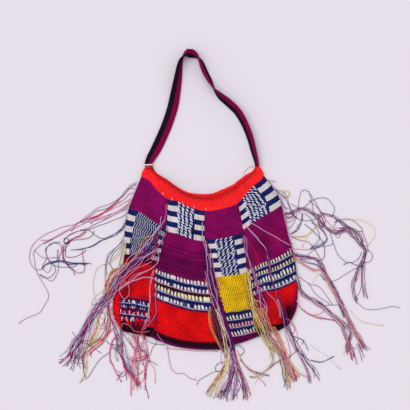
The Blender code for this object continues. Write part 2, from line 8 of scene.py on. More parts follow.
import logging
import math
from collections.abc import Callable
from dataclasses import dataclass, field
from enum import Enum
from typing import ClassVar

import bmesh
import bpy
import numpy as np
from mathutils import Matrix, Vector


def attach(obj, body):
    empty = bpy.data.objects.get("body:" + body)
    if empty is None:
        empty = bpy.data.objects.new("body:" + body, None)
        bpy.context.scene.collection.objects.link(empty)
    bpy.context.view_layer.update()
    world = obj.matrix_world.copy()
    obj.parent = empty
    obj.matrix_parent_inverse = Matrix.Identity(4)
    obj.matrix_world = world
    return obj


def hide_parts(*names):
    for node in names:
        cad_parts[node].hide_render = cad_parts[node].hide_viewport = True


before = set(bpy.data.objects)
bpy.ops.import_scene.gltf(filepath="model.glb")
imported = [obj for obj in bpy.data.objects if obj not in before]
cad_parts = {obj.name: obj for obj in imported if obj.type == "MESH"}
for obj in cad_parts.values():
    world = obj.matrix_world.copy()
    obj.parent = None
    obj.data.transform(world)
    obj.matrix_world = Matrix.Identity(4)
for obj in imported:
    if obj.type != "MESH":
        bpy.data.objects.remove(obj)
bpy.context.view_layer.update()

LOG = logging.getLogger("string_bag")
MM = 0.001
BODY = "root"
SEED = 29
UP = np.array((0.0, 0.0, 1.0))

# ---------------------------------------------------------------------------------------------
# Sizes shared with the solids, in millimetres

RIM = np.array(
    (
        (-115.0, 121.2, -128.8, 118.8), (-112.0, 111.0, -134.0, 102.4),
        (-102.0, 100.6, -118.0, 92.0), (-84.0, 88.4, -105.0, 75.0),
        (-66.0, 75.0, -83.0, 56.0), (-48.0, 64.0, -62.0, 51.4), (-30.0, 57.6, -38.0, 40.0),
        (-8.0, 54.4, -8.0, 32.8), (14.0, 56.8, 23.0, 36.0), (40.0, 68.0, 57.0, 48.0),
        (56.0, 78.0, 73.0, 65.0), (75.0, 93.4, 87.0, 81.0), (89.0, 107.0, 108.0, 100.0),
        (94.6, 121.0, 101.6, 120.0),
    )
)
SEAM_STATIONS = (1, 4, 7, 9, 12)
FRONT_SEAMS = (
    (
        (-146, 74), (-156, 48), (-162, 30), (-167, 4), (-169.4, -26), (-170.4, -58),
        (-173, -90), (-176, -126), (-177.4, -162), (-177, -190), (-173, -208),
    ),
    (
        (-83.4, 24), (-86, -6), (-92, -36), (-99, -60), (-106, -86), (-108, -114),
        (-108, -142), (-106, -170), (-105, -194), (-116, -220),
    ),
    (
        (-8.6, 4), (-8, -26), (-5.4, -62), (-2, -100), (4, -140), (9.4, -172),
        (14, -206), (19, -245.2),
    ),
    (
        (63, 20), (68, -8), (72, -46), (76, -88), (80.6, -128), (85.4, -164),
        (91, -192), (98, -219),
    ),
    (
        (122, 86), (135, 70), (142, 54), (147, 32), (153, 6), (160, -22), (166.6, -46),
        (172, -72), (176.6, -104), (176.8, -136), (174, -166), (159, -196),
    ),
)
BACK_LEFT_SEAM = (
    (-146, 74), (-156, 48), (-162, 30), (-167, 4), (-169.4, -26), (-171.6, -58),
    (-181, -98), (-189, -126), (-192.6, -152), (-191.4, -174), (-184, -192), (-173, -208),
)
FOOT_POINTS = (
    ((-144, -214),),
    ((-92.4, -230.8), (-63.2, -239.6), (-24, -244.6)),
    ((52, -235), (74, -228)),
    ((114, -209), (136, -208), (150, -201)),
)
# Middle x and y, turn in degrees, length, width and height of each soft fold
FOLDS = (
    (40, 17, 90, 50, 8, -0.9), (-44, -222, -11, 120, 12, 0.8), (156, -160, 86, 56, 9, -2.0),
    (168, -150, 86, 50, 8, 1.2), (-138, -70, 20, 56, 11, 1.4), (-144, -146, -4, 64, 10, -1.2),
    (94, -82, -45, 50, 10, -1.0), (-52, -56, -15, 84, 20, 0.9), (52, -126, 75, 90, 16, 0.9),
    (120, -28, 30, 70, 14, 1.0),
)
# Middle x and y, lean in degrees, width and lift at each station of the strap
STRAP = np.array(
    (
        (-122.0, 122.0, 0, 13.0, 2.8), (-121.4, 128.0, 0, 13.5, 2.8),
        (-116.0, 139.0, 2, 17.0, 1.2), (-104.5, 159.4, 4, 20.0, 0.0),
        (-87.0, 198.0, 4, 20.5, 0.0), (-73.6, 237.0, 6, 20.5, 0.0),
        (-66.6, 271.0, 28, 20.0, 0.0), (-61.4, 302.0, 50, 20.0, 0.0),
        (-58.0, 324.0, 66, 19.5, 0.0), (-53.6, 337.0, 84, 19.0, 0.0),
        (-46.5, 345.5, 122, 18.0, 0.4), (-38.5, 348.0, 186, 16.5, 1.4),
        (-30.0, 345.2, 228, 16.5, 1.8), (-22.6, 340.0, 262, 17.5, 1.2),
        (-16.4, 331.0, 292, 18.5, 0.0), (-8.4, 311.0, 301, 19.0, 0.0),
        (1.6, 292.0, 294, 19.0, 0.0), (10.8, 275.6, 270, 19.0, 0.0),
        (23.4, 261.4, 240, 19.5, 0.0), (40.4, 247.4, 230, 20.0, 0.0),
        (57.6, 230.0, 230, 19.5, 0.0), (71.6, 206.0, 231, 18.5, 0.0),
        (82.0, 179.4, 231, 17.0, 0.0), (89.4, 152.0, 234, 15.0, 0.0),
        (94.2, 134.0, 238, 12.5, 0.4), (96.6, 121.8, 240, 10.0, 0.8),
    )
)
CLOTH = 2.5
LAYER_GAP = 0.35
INNER_HEIGHT = 8.0
SIDE_RISE = 0.22
FOOT_RISE = 0.14
SEAM_DEPTH = 1.3
SEAM_WIDTH = 7.0
GORE_CROWN = 1.2
MOUTH_FADE = 0.08
# How far the back layer's rim shows above the front one, at each station of the rim
BACK_RIM_RISE = (0, 1, 1.5, 2, 3, 4.5, 6.5, 8.5, 9.5, 9.5, 9.5, 9, 4.5, 0)
STRAP_THICKNESS = 2.6
FLOOR_LIFT = 0.15
TIE_PLACE = 0.45
# Colour, girth and points of the loose threads by the strap's two ends
LOOSE_THREADS = (
    ("B", 0.6, ((-116, 117, 8.2), (-110.5, 114, 7.8), (-108.6, 109, 3.4), (-108.4, 105, 1.4))),
    ("B", 0.7, ((-126, 119, 8.3), (-122, 116.5, 8.6), (-117, 117.5, 8.4))),
    ("i", 0.4, ((93, 122, 4.0), (82, 120, 0.8), (74, 114, 0.7), (69, 105, 0.7))),
    ("r", 0.45, ((118, 94, 8.0), (125, 92.6, 3.0), (134, 91, 0.8))),
)
DISC_PLACE = (155.0, 66.0)
DISC_RADIUS = 7.3
DISC_THICKNESS = 2.0
DISC_SIDES = 48

# Sizes of the looped cloth, in millimetres: the ground cloth's thickness, how far it lies
# under each layer's outer face, and how far the stitches stand off that face
GROUND_THICKNESS = 1.3
GROUND_DEPTH = 1.0
BACK_GROUND_DEPTH = 0.8
STITCH_RISE = 0.35
BACK_STITCH_RISE = -1.0
# Height of the stitches on the back layer's inner face
INNER_FACE = CLOTH - 0.3
# Lengths of the joining stitches, and a place inside the bag that its edges face away from
SEAM_STITCH = 3.6
EDGE_STITCH = 3.0
BAG_MIDDLE = (0.0, -60.0)
# Columns and rows of cells in the ground cloths
FRONT_GRID = (24, 96)
BACK_GRID = (16, 60)
RIM_GRID = (78, 6)
RIBBON_GRID = (8, 150)
# How far the panels' upright edges stray from one row to the next, as a share of the gore
RAGGED = 0.02

# Loose yarn: its radius, how far its frayed tip reaches and how finely its path is cut
GIRTHS = (0.42, 0.58)
TIP = 9.0
STRAND_STEP = 4.0
# The steepest that it climbs or falls over what it lies on, as a slope
STEEPEST = 0.9
# Its waves: shortest and longest, and how much each grows with the hank's width
WAVES = ((70.0, 150.0, 0.2), (24.0, 50.0, 0.05))

# How far the table's top lies below the bag, to clear its lowest threads, in millimetres
TABLE_DROP = 0.2
# What the camera looks at and how wide it sees there, in metres
VIEW_MIDDLE = (-0.008, 0.044, 0.008)
VIEW_WIDTH = 0.820
# The lens and the sensor in their own millimetres
LENS = 100.0
SENSOR = 36.0

# Yarn colours as they look, 0 to 255, by the letter that the charts use
YARNS = {
    "M": (142, 9, 94), "U": (116, 6, 78), "P": (98, 5, 78), "V": (74, 8, 74),
    "D": (104, 6, 34), "R": (240, 17, 22), "X": (255, 40, 44), "Y": (240, 196, 26),
    "N": (24, 34, 100), "K": (40, 8, 24), "W": (228, 218, 216), "F": (220, 220, 234),
    "L": (160, 160, 192), "C": (236, 222, 176), "I": (226, 160, 174), "J": (194, 146, 174),
    "Q": (58, 22, 48), "A": (226, 130, 60), "B": (32, 18, 34), "S": (136, 4, 72),
    "p": (164, 34, 120), "v": (84, 24, 98), "n": (56, 56, 118), "g": (128, 128, 154),
    "r": (210, 44, 66), "i": (236, 128, 158), "h": (208, 132, 178), "c": (236, 214, 164),
    "y": (204, 166, 52), "o": (212, 130, 68), "w": (204, 172, 206), "e": (96, 84, 44),
    "s": (230, 160, 130),
}
# Yarn lighter than this in every channel counts as pale, and stains don't show on it
PALE_LIMIT = 0.3


def linear(colour: tuple[float, ...]) -> np.ndarray:
    """Turn a display colour into a linear one.

    Args:
        colour: Red, green and blue from 0 to 255.

    Returns:
        The linear colour, 0 to 1.
    """
    share = np.array(colour, float) / 255.0
    return np.where(share <= 0.04045, share / 12.92, ((share + 0.055) / 1.055) ** 2.4)


TINTS = {letter: linear(colour) for letter, colour in YARNS.items()}

# ---------------------------------------------------------------------------------------------
# Node trees


class Wire:
    """An output socket of a node tree that Python's operators can work on."""

    def __init__(self, bench: "Bench", socket: bpy.types.NodeSocket) -> None:
        """Keep the socket and the bench it is on."""
        self.bench = bench
        self.socket = socket

    def maths(self, operation: str, *values: "Wire | float") -> "Wire":
        """Add a Math node.

        Args:
            operation: The node's operation.
            values: Its inputs, in order.

        Returns:
            The node's result.
        """
        return self.bench.add("ShaderNodeMath", {"operation": operation}, dict(enumerate(values)))

    def __add__(self, other: "Wire | float") -> "Wire":
        """Return the sum."""
        return self.maths("ADD", self, other)

    def __sub__(self, other: "Wire | float") -> "Wire":
        """Return the difference."""
        return self.maths("SUBTRACT", self, other)

    def __rsub__(self, other: float) -> "Wire":
        """Return the difference from a number."""
        return self.maths("SUBTRACT", other, self)

    def __mul__(self, other: "Wire | float") -> "Wire":
        """Return the product."""
        return self.maths("MULTIPLY", self, other)

    def __truediv__(self, other: "Wire | float") -> "Wire":
        """Return the quotient."""
        return self.maths("DIVIDE", self, other)

    def __pow__(self, other: "Wire | float") -> "Wire":
        """Return the power."""
        return self.maths("POWER", self, other)

    __radd__ = __add__

    def sine(self) -> "Wire":
        """Return the sine."""
        return self.maths("SINE", self)

    def clamped(self) -> "Wire":
        """Return the value held between 0 and 1."""
        return self.maths("MINIMUM", self.maths("MAXIMUM", self, 0.0), 1.0)


class Bench:
    """A node tree and the one way to add a node to it."""

    def __init__(self, tree: bpy.types.NodeTree) -> None:
        """Keep the tree."""
        self.tree = tree

    def add(
        self,
        kind: str,
        settings: dict[str, object] | None = None,
        inputs: dict[int | str, object] | None = None,
        output: int | str = 0,
    ) -> Wire:
        """Add a node, set it up and feed it.

        Args:
            kind: The node's type.
            settings: Its own settings, set before its sockets.
            inputs: A value or a wire for each socket, by number or name.
            output: The output that comes back.

        Returns:
            The wire of that output.
        """
        node = self.tree.nodes.new(kind)
        for key, value in (settings or {}).items():
            setattr(node, key, value)
        for key, value in (inputs or {}).items():
            self.feed(self.find(node.inputs, key), value)
        return Wire(self, self.find(node.outputs, output))

    @staticmethod
    def find(sockets: bpy.types.bpy_prop_collection, key: int | str) -> bpy.types.NodeSocket:
        """Return a socket by its number, or by its name among those in use."""
        if isinstance(key, int):
            return sockets[key]
        return next(socket for socket in sockets if socket.name == key and socket.enabled)

    def feed(self, socket: bpy.types.NodeSocket, value: object) -> None:
        """Link a wire to a socket, or set the socket's value.

        Args:
            socket: The input to feed.
            value: A wire or a plain value.
        """
        if isinstance(value, Wire):
            self.tree.links.new(value.socket, socket)
        else:
            socket.default_value = value

    def keep(self, shape: Wire, name: str, kind: str, value: Wire) -> Wire:
        """Store a value on a shape's points and return the shape."""
        settings = {"data_type": kind, "domain": "POINT"}
        inputs = {"Geometry": shape, "Name": name, "Value": value}
        return self.add("GeometryNodeStoreNamedAttribute", settings, inputs)

    def kept(self, name: str, kind: str) -> Wire:
        """Return a value that the points carry."""
        return self.add("GeometryNodeInputNamedAttribute", {"data_type": kind}, {"Name": name})

    def tube(self, line: Wire, ring: Wire, girth: Wire) -> Wire:
        """Return the tube of a ring along a line."""
        inputs = {"Curve": line, "Profile Curve": ring, "Scale": girth, "Fill Caps": True}
        return self.add("GeometryNodeCurveToMesh", None, inputs)

    def ring(self, sides: Wire, radius: float) -> Wire:
        """Return a circle of a few sides."""
        inputs = {"Resolution": sides, "Radius": radius}
        return self.add("GeometryNodeCurvePrimitiveCircle", {"mode": "RADIUS"}, inputs)

    def smooth(self, shape: Wire) -> Wire:
        """Return a shape shaded smooth."""
        return self.add("GeometryNodeSetShadeSmooth", None, {0: shape, "Shade Smooth": True})

    def painted(self, name: str, output: str) -> Wire:
        """Return a value that a mesh carries into its material."""
        settings = {"attribute_type": "GEOMETRY", "attribute_name": name}
        return self.add("ShaderNodeAttribute", settings, None, output)

    def noise(self, **inputs: object) -> Wire:
        """Return a noise pattern."""
        return self.add("ShaderNodeTexNoise", None, inputs)

    def scaled(self, colour: Wire, light: Wire) -> Wire:
        """Return a colour made lighter or darker."""
        inputs = {0: colour, "Scale": light}
        return self.add("ShaderNodeVectorMath", {"operation": "SCALE"}, inputs)


class GrowthTree:
    """A Geometry Nodes tree that turns points or chains into one plain mesh."""

    NAME: ClassVar[str]
    SOURCE: ClassVar[str]
    RESULT: ClassVar[str]
    INPUTS: ClassVar[dict[str, str]]

    def __init__(self) -> None:
        """Build the tree."""
        self.tree = bpy.data.node_groups.new(self.NAME, "GeometryNodeTree")
        face = self.tree.interface
        face.new_socket(name=self.SOURCE, in_out="INPUT", socket_type="NodeSocketGeometry")
        self.inputs = {
            name: face.new_socket(name=name, in_out="INPUT", socket_type=kind).identifier
            for name, kind in self.INPUTS.items()
        }
        face.new_socket(name=self.RESULT, in_out="OUTPUT", socket_type="NodeSocketGeometry")
        self.bench = Bench(self.tree)
        self.given = self.tree.nodes.new("NodeGroupInput")
        real = self.bench.add("GeometryNodeRealizeInstances", None, {"Geometry": self.grow()})
        done = self.bench.add(
            "GeometryNodeSetMaterial", None, {"Geometry": real, "Material": self.take("Finish")}
        )
        out = self.tree.nodes.new("NodeGroupOutput")
        self.tree.links.new(done.socket, out.inputs[0])

    def take(self, name: str) -> Wire:
        """Return one of the tree's inputs."""
        return Wire(self.bench, self.given.outputs[name])

    def grow(self) -> Wire:
        """Add the nodes of the shape and return it."""
        raise NotImplementedError


class LoopTree(GrowthTree):
    """A tree that lays one small bowed bar of yarn at every point.

    The points carry run (the bar's direction), up (away from the cloth), size (width, length and
    height) and tint.
    """

    NAME = "laid_loops"
    SOURCE = "Points"
    RESULT = "Loops"
    INPUTS = {
        "Sides": "NodeSocketInt", "Spans": "NodeSocketInt", "End Girth": "NodeSocketFloat",
        "Sway": "NodeSocketFloat", "Seed": "NodeSocketInt", "Finish": "NodeSocketMaterial",
    }

    def grow(self) -> Wire:
        """Add the nodes of the bars.

        Returns:
            The shape.
        """
        bench, take = self.bench, self.take
        bow = bench.add(
            "GeometryNodeCurveQuadraticBezier", None,
            {"Resolution": take("Spans"), "Start": (-0.1, -0.5, -0.45),
             "Middle": (0.0, 0.0, 1.0), "End": (0.1, 0.5, -0.45)},
        )
        swell_out = (bench.add("GeometryNodeSplineParameter") * math.pi).sine()
        girth = take("End Girth") + (1.0 - take("End Girth")) * swell_out
        bar = bench.smooth(bench.tube(bow, bench.ring(take("Sides"), 0.5), girth))
        position = bench.add("GeometryNodeInputPosition")
        ply = bench.keep(bar, "ply", "FLOAT_VECTOR", position)
        run, up, size = (bench.kept(name, "FLOAT_VECTOR") for name in ("run", "up", "size"))
        turn = bench.add("FunctionNodeAlignRotationToVector", {"axis": "Z"}, {"Vector": up})
        turn = bench.add(
            "FunctionNodeAlignRotationToVector", {"axis": "Y", "pivot_axis": "Z"},
            {"Rotation": turn, "Vector": run},
        )
        shake = bench.add(
            "FunctionNodeRandomValue", {"data_type": "FLOAT"},
            {"Min": take("Sway") * -1.0, "Max": take("Sway"), "Seed": take("Seed")}, "Value",
        )
        turn = bench.add(
            "FunctionNodeRotateRotation", {"rotation_space": "LOCAL"},
            {"Rotation": turn, "Rotate By": bench.add("ShaderNodeCombineXYZ", None, {"Z": shake})},
        )
        return bench.add(
            "GeometryNodeInstanceOnPoints", None,
            {"Points": take("Points"), "Instance": ply, "Rotation": turn, "Scale": size},
        )


class YarnTree(GrowthTree):
    """A tree that makes a tube of yarn along every chain of edges.

    The points of a chain carry girth (the yarn's radius) and tint.
    """

    NAME = "spun_yarn"
    SOURCE = "Chains"
    RESULT = "Yarn"
    INPUTS = {"Sides": "NodeSocketInt", "Finish": "NodeSocketMaterial"}

    def grow(self) -> Wire:
        """Add the nodes of the tubes.

        Returns:
            The shape.
        """
        bench = self.bench
        line = bench.add("GeometryNodeMeshToCurve", None, {"Mesh": self.take("Chains")})
        reach = bench.add("GeometryNodeSplineParameter", None, None, "Length")
        line = bench.keep(line, "reach", "FLOAT", reach)
        position = bench.add("GeometryNodeInputPosition")
        ring = bench.keep(
            bench.ring(self.take("Sides"), 1.0), "turn", "FLOAT_VECTOR", position
        )
        tube = bench.tube(line, ring, bench.kept("girth", "FLOAT"))
        turn = bench.kept("turn", "FLOAT_VECTOR")
        east = bench.add("ShaderNodeSeparateXYZ", None, {"Vector": turn})
        north = Wire(bench, east.socket.node.outputs["Y"])
        ply = bench.add(
            "ShaderNodeCombineXYZ", None,
            {"X": east, "Y": bench.kept("reach", "FLOAT"), "Z": north},
        )
        return bench.smooth(bench.keep(tube, "ply", "FLOAT_VECTOR", ply))


def added(name: str, data: bpy.types.ID | None) -> bpy.types.Object:
    """Put data in the scene as an object and return it."""
    piece = bpy.data.objects.new(name, data)
    bpy.context.scene.collection.objects.link(piece)
    return piece


def grown(
    name: str, mesh: bpy.types.Mesh, tree: GrowthTree, values: dict[str, object]
) -> bpy.types.Object:
    """Run a mesh through a Geometry Nodes tree and keep the result as a plain mesh.

    Args:
        name: The new piece's name.
        mesh: The points or chains with their attributes.
        tree: The tree to run.
        values: The tree's inputs by name.

    Returns:
        The piece.
    """
    carrier = added(name + "_points", mesh)
    modifier = carrier.modifiers.new("grow", "NODES")
    modifier.node_group = tree.tree
    for key, value in values.items():
        modifier[tree.inputs[key]] = value
    graph = bpy.context.evaluated_depsgraph_get()
    plain = bpy.data.meshes.new_from_object(carrier.evaluated_get(graph))
    plain.name = name
    carrier.modifiers.remove(modifier)
    bpy.data.objects.remove(carrier)
    return added(name, plain)


# ---------------------------------------------------------------------------------------------
# Finishes


@dataclass(frozen=True)
class Finish:
    """A material on the shader that every finish shares."""

    name: str

    def make(self) -> bpy.types.Material:
        """Build the material.

        Returns:
            The material.
        """
        material = bpy.data.materials.new(self.name)
        material.use_nodes = True
        bench = Bench(material.node_tree)
        self.paint(bench, material.node_tree.nodes["Principled BSDF"])
        return material

    def paint(self, bench: Bench, shader: bpy.types.Node) -> None:
        """Add the finish's own nodes."""
        raise NotImplementedError

    @staticmethod
    def dress(
        bench: Bench, shader: bpy.types.Node, colour: Wire, roughness: Wire,
        bump: tuple[float, float, Wire],
    ) -> None:
        """Feed the shader what all the woven and shell finishes have.

        Args:
            bench: The material's nodes.
            shader: The shader.
            colour: Its colour.
            roughness: Its roughness.
            bump: How strong the relief is, how deep in millimetres, and its height.
        """
        strength, depth, height = bump
        bench.feed(shader.inputs["Base Color"], colour)
        bench.feed(shader.inputs["Roughness"], roughness)
        relief = bench.add(
            "ShaderNodeBump", None,
            {"Strength": strength, "Distance": depth * MM, "Height": height},
        )
        bench.feed(shader.inputs["Normal"], relief)


@dataclass(frozen=True)
class YarnFinish(Finish):
    """Twisted yarn whose colour comes from the piece's own tint."""

    twist: float
    width: float
    fibre_scale: float = 2600.0
    fade_scale: float = 34.0
    shade: float = 0.30
    roughness: float = 0.86
    bump: float = 0.5

    def paint(self, bench: Bench, shader: bpy.types.Node) -> None:
        """Add the nodes of the twist, the fibres and the slow fading.

        Args:
            bench: The material's nodes.
            shader: The shader.
        """
        place = bench.add("ShaderNodeTexCoord", None, None, "Object")
        ply = bench.painted("ply", "Vector")
        split = bench.add("ShaderNodeSeparateXYZ", None, {"Vector": ply})
        outputs = split.socket.node.outputs
        along = Wire(bench, outputs["Y"]) * self.twist
        quarter = (along + 0.5 * math.pi).sine()
        strands = along.sine() * split + quarter * Wire(bench, outputs["Z"])
        strands = strands * (0.5 / self.width) + 0.5
        fibre = bench.noise(Vector=place, Scale=self.fibre_scale, Detail=2.0, Roughness=0.6)
        fade = bench.noise(Vector=place, Scale=self.fade_scale, Detail=3.0, Roughness=0.55)
        light = (
            1.0 - self.shade
            + strands * (0.45 * self.shade)
            + fibre * (0.75 * self.shade)
            + (fade - 0.5) * (0.9 * self.shade)
        )
        self.dress(
            bench, shader, bench.scaled(bench.painted("tint", "Color"), light),
            self.roughness + fibre * 0.16, (self.bump, 0.25, strands * 0.6 + fibre * 0.4),
        )
        shader.inputs["Specular IOR Level"].default_value = 0.08


@dataclass(frozen=True)
class GroundFinish(Finish):
    """The shaded yarn that shows between the stitches."""

    weave_scale: float = 900.0
    fibre_scale: float = 3200.0

    def paint(self, bench: Bench, shader: bpy.types.Node) -> None:
        """Add the nodes of the knots and the fibres.

        Args:
            bench: The material's nodes.
            shader: The shader.
        """
        place = bench.add("ShaderNodeTexCoord", None, None, "Object")
        knots = bench.add(
            "ShaderNodeTexVoronoi", {"feature": "SMOOTH_F1"},
            {"Vector": place, "Scale": self.weave_scale, "Smoothness": 0.6}, "Distance",
        )
        fibre = bench.noise(Vector=place, Scale=self.fibre_scale, Detail=2.0)
        light = 0.55 + knots * 0.35 + fibre * 0.3
        self.dress(
            bench, shader, bench.scaled(bench.painted("tint", "Color"), light),
            0.82 + fibre * 0.12, (0.6, 0.4, knots + fibre * 0.3),
        )
        shader.inputs["Specular IOR Level"].default_value = 0.05


@dataclass(frozen=True)
class ShellFinish(Finish):
    """Thin pale shell with a browner edge."""

    middle: tuple[int, int, int] = (214, 200, 184)
    edge: tuple[int, int, int] = (176, 144, 112)
    ring_scale: float = 420.0

    def paint(self, bench: Bench, shader: bpy.types.Node) -> None:
        """Add the nodes of the rings and the browner edge.

        Args:
            bench: The material's nodes.
            shader: The shader.
        """
        place = bench.add("ShaderNodeTexCoord", None, None, "Object")
        centre = (*[value * MM for value in DISC_PLACE], 0.5 * DISC_THICKNESS * MM)
        away = bench.add(
            "ShaderNodeVectorMath", {"operation": "DISTANCE"}, {0: place, 1: centre}, "Value"
        )
        rings = bench.noise(Vector=place, Scale=self.ring_scale, Detail=3.0)
        reach = ((away / (DISC_RADIUS * MM)) ** 3.0 + (rings - 0.5) * 0.4).clamped()
        colour = bench.add(
            "ShaderNodeMix", {"data_type": "RGBA"},
            {"Factor": reach, "A": (*linear(self.middle), 1.0), "B": (*linear(self.edge), 1.0)},
            "Result",
        )
        self.dress(bench, shader, colour, 0.3 + rings * 0.25, (0.3, 0.2, rings))
        shader.inputs["Coat Weight"].default_value = 0.3


@dataclass(frozen=True)
class TableFinish(Finish):
    """The plain pale table under the bag."""

    colour: tuple[float, float, float] = (0.676, 0.631, 0.676)

    def paint(self, bench: Bench, shader: bpy.types.Node) -> None:
        """Set the shader's plain values."""
        shader.inputs["Base Color"].default_value = (*self.colour, 1.0)
        shader.inputs["Roughness"].default_value = 0.7
        shader.inputs["Specular IOR Level"].default_value = 0.2


# ---------------------------------------------------------------------------------------------
# Shapes


def spline(points: np.ndarray, place: np.ndarray) -> np.ndarray:
    """Read a Catmull-Rom curve.

    Args:
        points: The control points, one a row.
        place: Where to read it, counted in control points.

    Returns:
        The points of the curve, one a row.
    """
    place = np.atleast_1d(np.asarray(place, float))
    last = len(points) - 1
    index = np.clip(np.floor(place).astype(int), 0, last - 1)
    t = (place - index)[:, None]
    ring = np.vstack((2 * points[0] - points[1], points, 2 * points[-1] - points[-2]))
    before, start, end, after = (ring[index + step] for step in range(4))
    return 0.5 * (
        2 * start
        + (end - before) * t
        + (2 * before - 5 * start + 4 * end - after) * t**2
        + (3 * start - before - 3 * end + after) * t**3
    )


class Route:
    """A smooth curve through points, read by the share of its length."""

    SAMPLES_PER_SPAN = 12

    def __init__(self, points: list) -> None:
        """Sample the curve.

        Args:
            points: The control points.
        """
        self.points = np.array([tuple(point) for point in points], float)
        steps = (len(self.points) - 1) * self.SAMPLES_PER_SPAN
        self.samples = spline(self.points, np.arange(steps + 1) / self.SAMPLES_PER_SPAN)
        spans = np.linalg.norm(np.diff(self.samples, axis=0), axis=1)
        self.reach = np.concatenate(([0.0], np.cumsum(spans)))
        self.length = float(self.reach[-1])

    def at(self, share: np.ndarray | float) -> np.ndarray:
        """Read the curve.

        Args:
            share: Shares of the length, from 0 to 1.

        Returns:
            The points, one a row.
        """
        goal = np.clip(np.atleast_1d(share), 0.0, 1.0) * self.length
        return np.stack(
            [np.interp(goal, self.reach, column) for column in self.samples.T], axis=-1
        )

    def share_at_y(self, y: float) -> float:
        """Return the share of the length at which the curve comes down to y."""
        return float(np.interp(-y, -self.samples[:, 1], self.reach)) / self.length


def rim_edges(place: np.ndarray, back: bool = False) -> tuple[np.ndarray, np.ndarray]:
    """Return the rim's upper and lower edge points.

    Args:
        place: Places counted in rim stations.
        back: Whether it is the back layer's rim.

    Returns:
        The upper and the lower points, in millimetres.
    """
    place = np.atleast_1d(np.asarray(place, float))
    both = spline(RIM, place)
    top, low = both[:, :2], both[:, 2:]
    if back:
        rise = np.interp(place, np.arange(len(RIM)), BACK_RIM_RISE)
        rise = np.stack((0 * rise, rise), axis=-1)
        top, low = top + rise, low + rise
    return top, low


def smooth_step(share: np.ndarray) -> np.ndarray:
    """Return an eased 0 to 1 for shares from 0 to 1."""
    share = np.clip(share, 0.0, 1.0)
    return share * share * (3.0 - 2.0 * share)


def turned(
    spot: np.ndarray, x: float, y: float, degrees: float
) -> tuple[np.ndarray, np.ndarray]:
    """Measure where points lie along and beside a turned line.

    Args:
        spot: The points, one a row.
        x: The line's middle in x.
        y: The line's middle in y.
        degrees: How far the line is turned from x.

    Returns:
        How far each point is along the line, and how far beside it.
    """
    turn = math.radians(degrees)
    dx, dy = spot[:, 0] - x, spot[:, 1] - y
    along = dx * math.cos(turn) + dy * math.sin(turn)
    return along, dy * math.cos(turn) - dx * math.sin(turn)


def fold_height(plan: np.ndarray) -> np.ndarray:
    """Add up the soft folds.

    Args:
        plan: Plan points, one a row.

    Returns:
        The height that the folds add at each point.
    """
    height = np.zeros(len(plan))
    for x, y, degrees, length, width, rise in FOLDS:
        along, aside = turned(plan, x, y, degrees)
        height += rise * np.exp(-((along / (0.5 * length)) ** 4) - (aside / width) ** 2)
    return height


def swell(across: np.ndarray, down: np.ndarray) -> np.ndarray:
    """Return how far the front layer stands off the back one, from 0 at its edges to 1."""
    side = np.minimum(np.minimum(across, 1.0 - across) / SIDE_RISE, 1.0)
    foot = np.minimum((1.0 - down) / FOOT_RISE, 1.0)
    return (1.0 - (1.0 - side) ** 2) * (1.0 - (1.0 - foot) ** 2)


class Gore:
    """One gore of a layer: a patch between two seams, the rim and its foot."""

    def __init__(self, index: int, back: bool = False) -> None:
        """Lay out the gore's four edges.

        Args:
            index: Which gore, from 0 at the left.
            back: Whether it is in the back layer.
        """
        self.index = index
        self.back = back
        self.stations = SEAM_STATIONS[index], SEAM_STATIONS[index + 1]
        self.left, self.right = self.seam(index), self.seam(index + 1)
        feet = [self.left.at(1)[0], *FOOT_POINTS[index], self.right.at(1)[0]]
        self.foot = Route(feet)

    def seam(self, index: int) -> Route:
        """Return the route of one seam, from the rim to the foot."""
        points = BACK_LEFT_SEAM if self.back and index == 0 else FRONT_SEAMS[index]
        return Route([rim_edges(SEAM_STATIONS[index], self.back)[1][0], *points])

    def top(self, share: np.ndarray) -> np.ndarray:
        """Return points of the top edge, where the rim is sewn on."""
        place = self.stations[0] + (self.stations[1] - self.stations[0]) * np.atleast_1d(share)
        return rim_edges(place, self.back)[1]

    def plan(self, along: np.ndarray, down: np.ndarray) -> np.ndarray:
        """Fill the patch between the four edges.

        Args:
            along: Shares across the gore.
            down: Shares down it.

        Returns:
            The plan points.
        """
        a, d = along[:, None], down[:, None]
        ends = [self.top(0), self.top(1), self.left.at(1), self.right.at(1)]
        line_top = ends[0] + (ends[1] - ends[0]) * a
        line_foot = ends[2] + (ends[3] - ends[2]) * a
        across = self.left.at(down) + (self.right.at(down) - self.left.at(down)) * a
        height = self.top(along) + (self.foot.at(along) - self.top(along)) * d
        return height + across - (line_top + (line_foot - line_top) * d)

    def surface(self, along: np.ndarray, down: np.ndarray) -> np.ndarray:
        """Lay the patch on its layer.

        Args:
            along: Shares across the gore.
            down: Shares down it.

        Returns:
            Points of the layer's outer face.
        """
        plan = self.plan(along, down)
        if self.back:
            return np.column_stack((plan, np.zeros(len(plan))))
        width = np.linalg.norm(self.left.at(down) - self.right.at(down), axis=1)
        across = (self.index + along) / 4.0
        from_left = along * width if self.index > 0 else width
        from_right = (1.0 - along) * width if self.index < 3 else width
        seam = np.minimum(from_left, from_right)
        full = swell(across, down)
        relief = GORE_CROWN * np.sin(np.pi * along) + fold_height(plan)
        relief -= SEAM_DEPTH * np.exp(-((seam / SEAM_WIDTH) ** 2))
        rise = INNER_HEIGHT * full + relief * full * smooth_step(down / MOUTH_FADE)
        return np.column_stack((plan, 2 * CLOTH + LAYER_GAP + rise))


# ---------------------------------------------------------------------------------------------
# Charts


class Style(Enum):
    """How the yarn lies in a course of stitches."""

    LOOPS = "crossed loops of plain cloth"
    RIB = "upright bars side by side"
    ROPE = "leaning bars stacked like a twisted cord"
    TEETH = "tall bars in two colours"
    LINE = "a thin thread along the course"


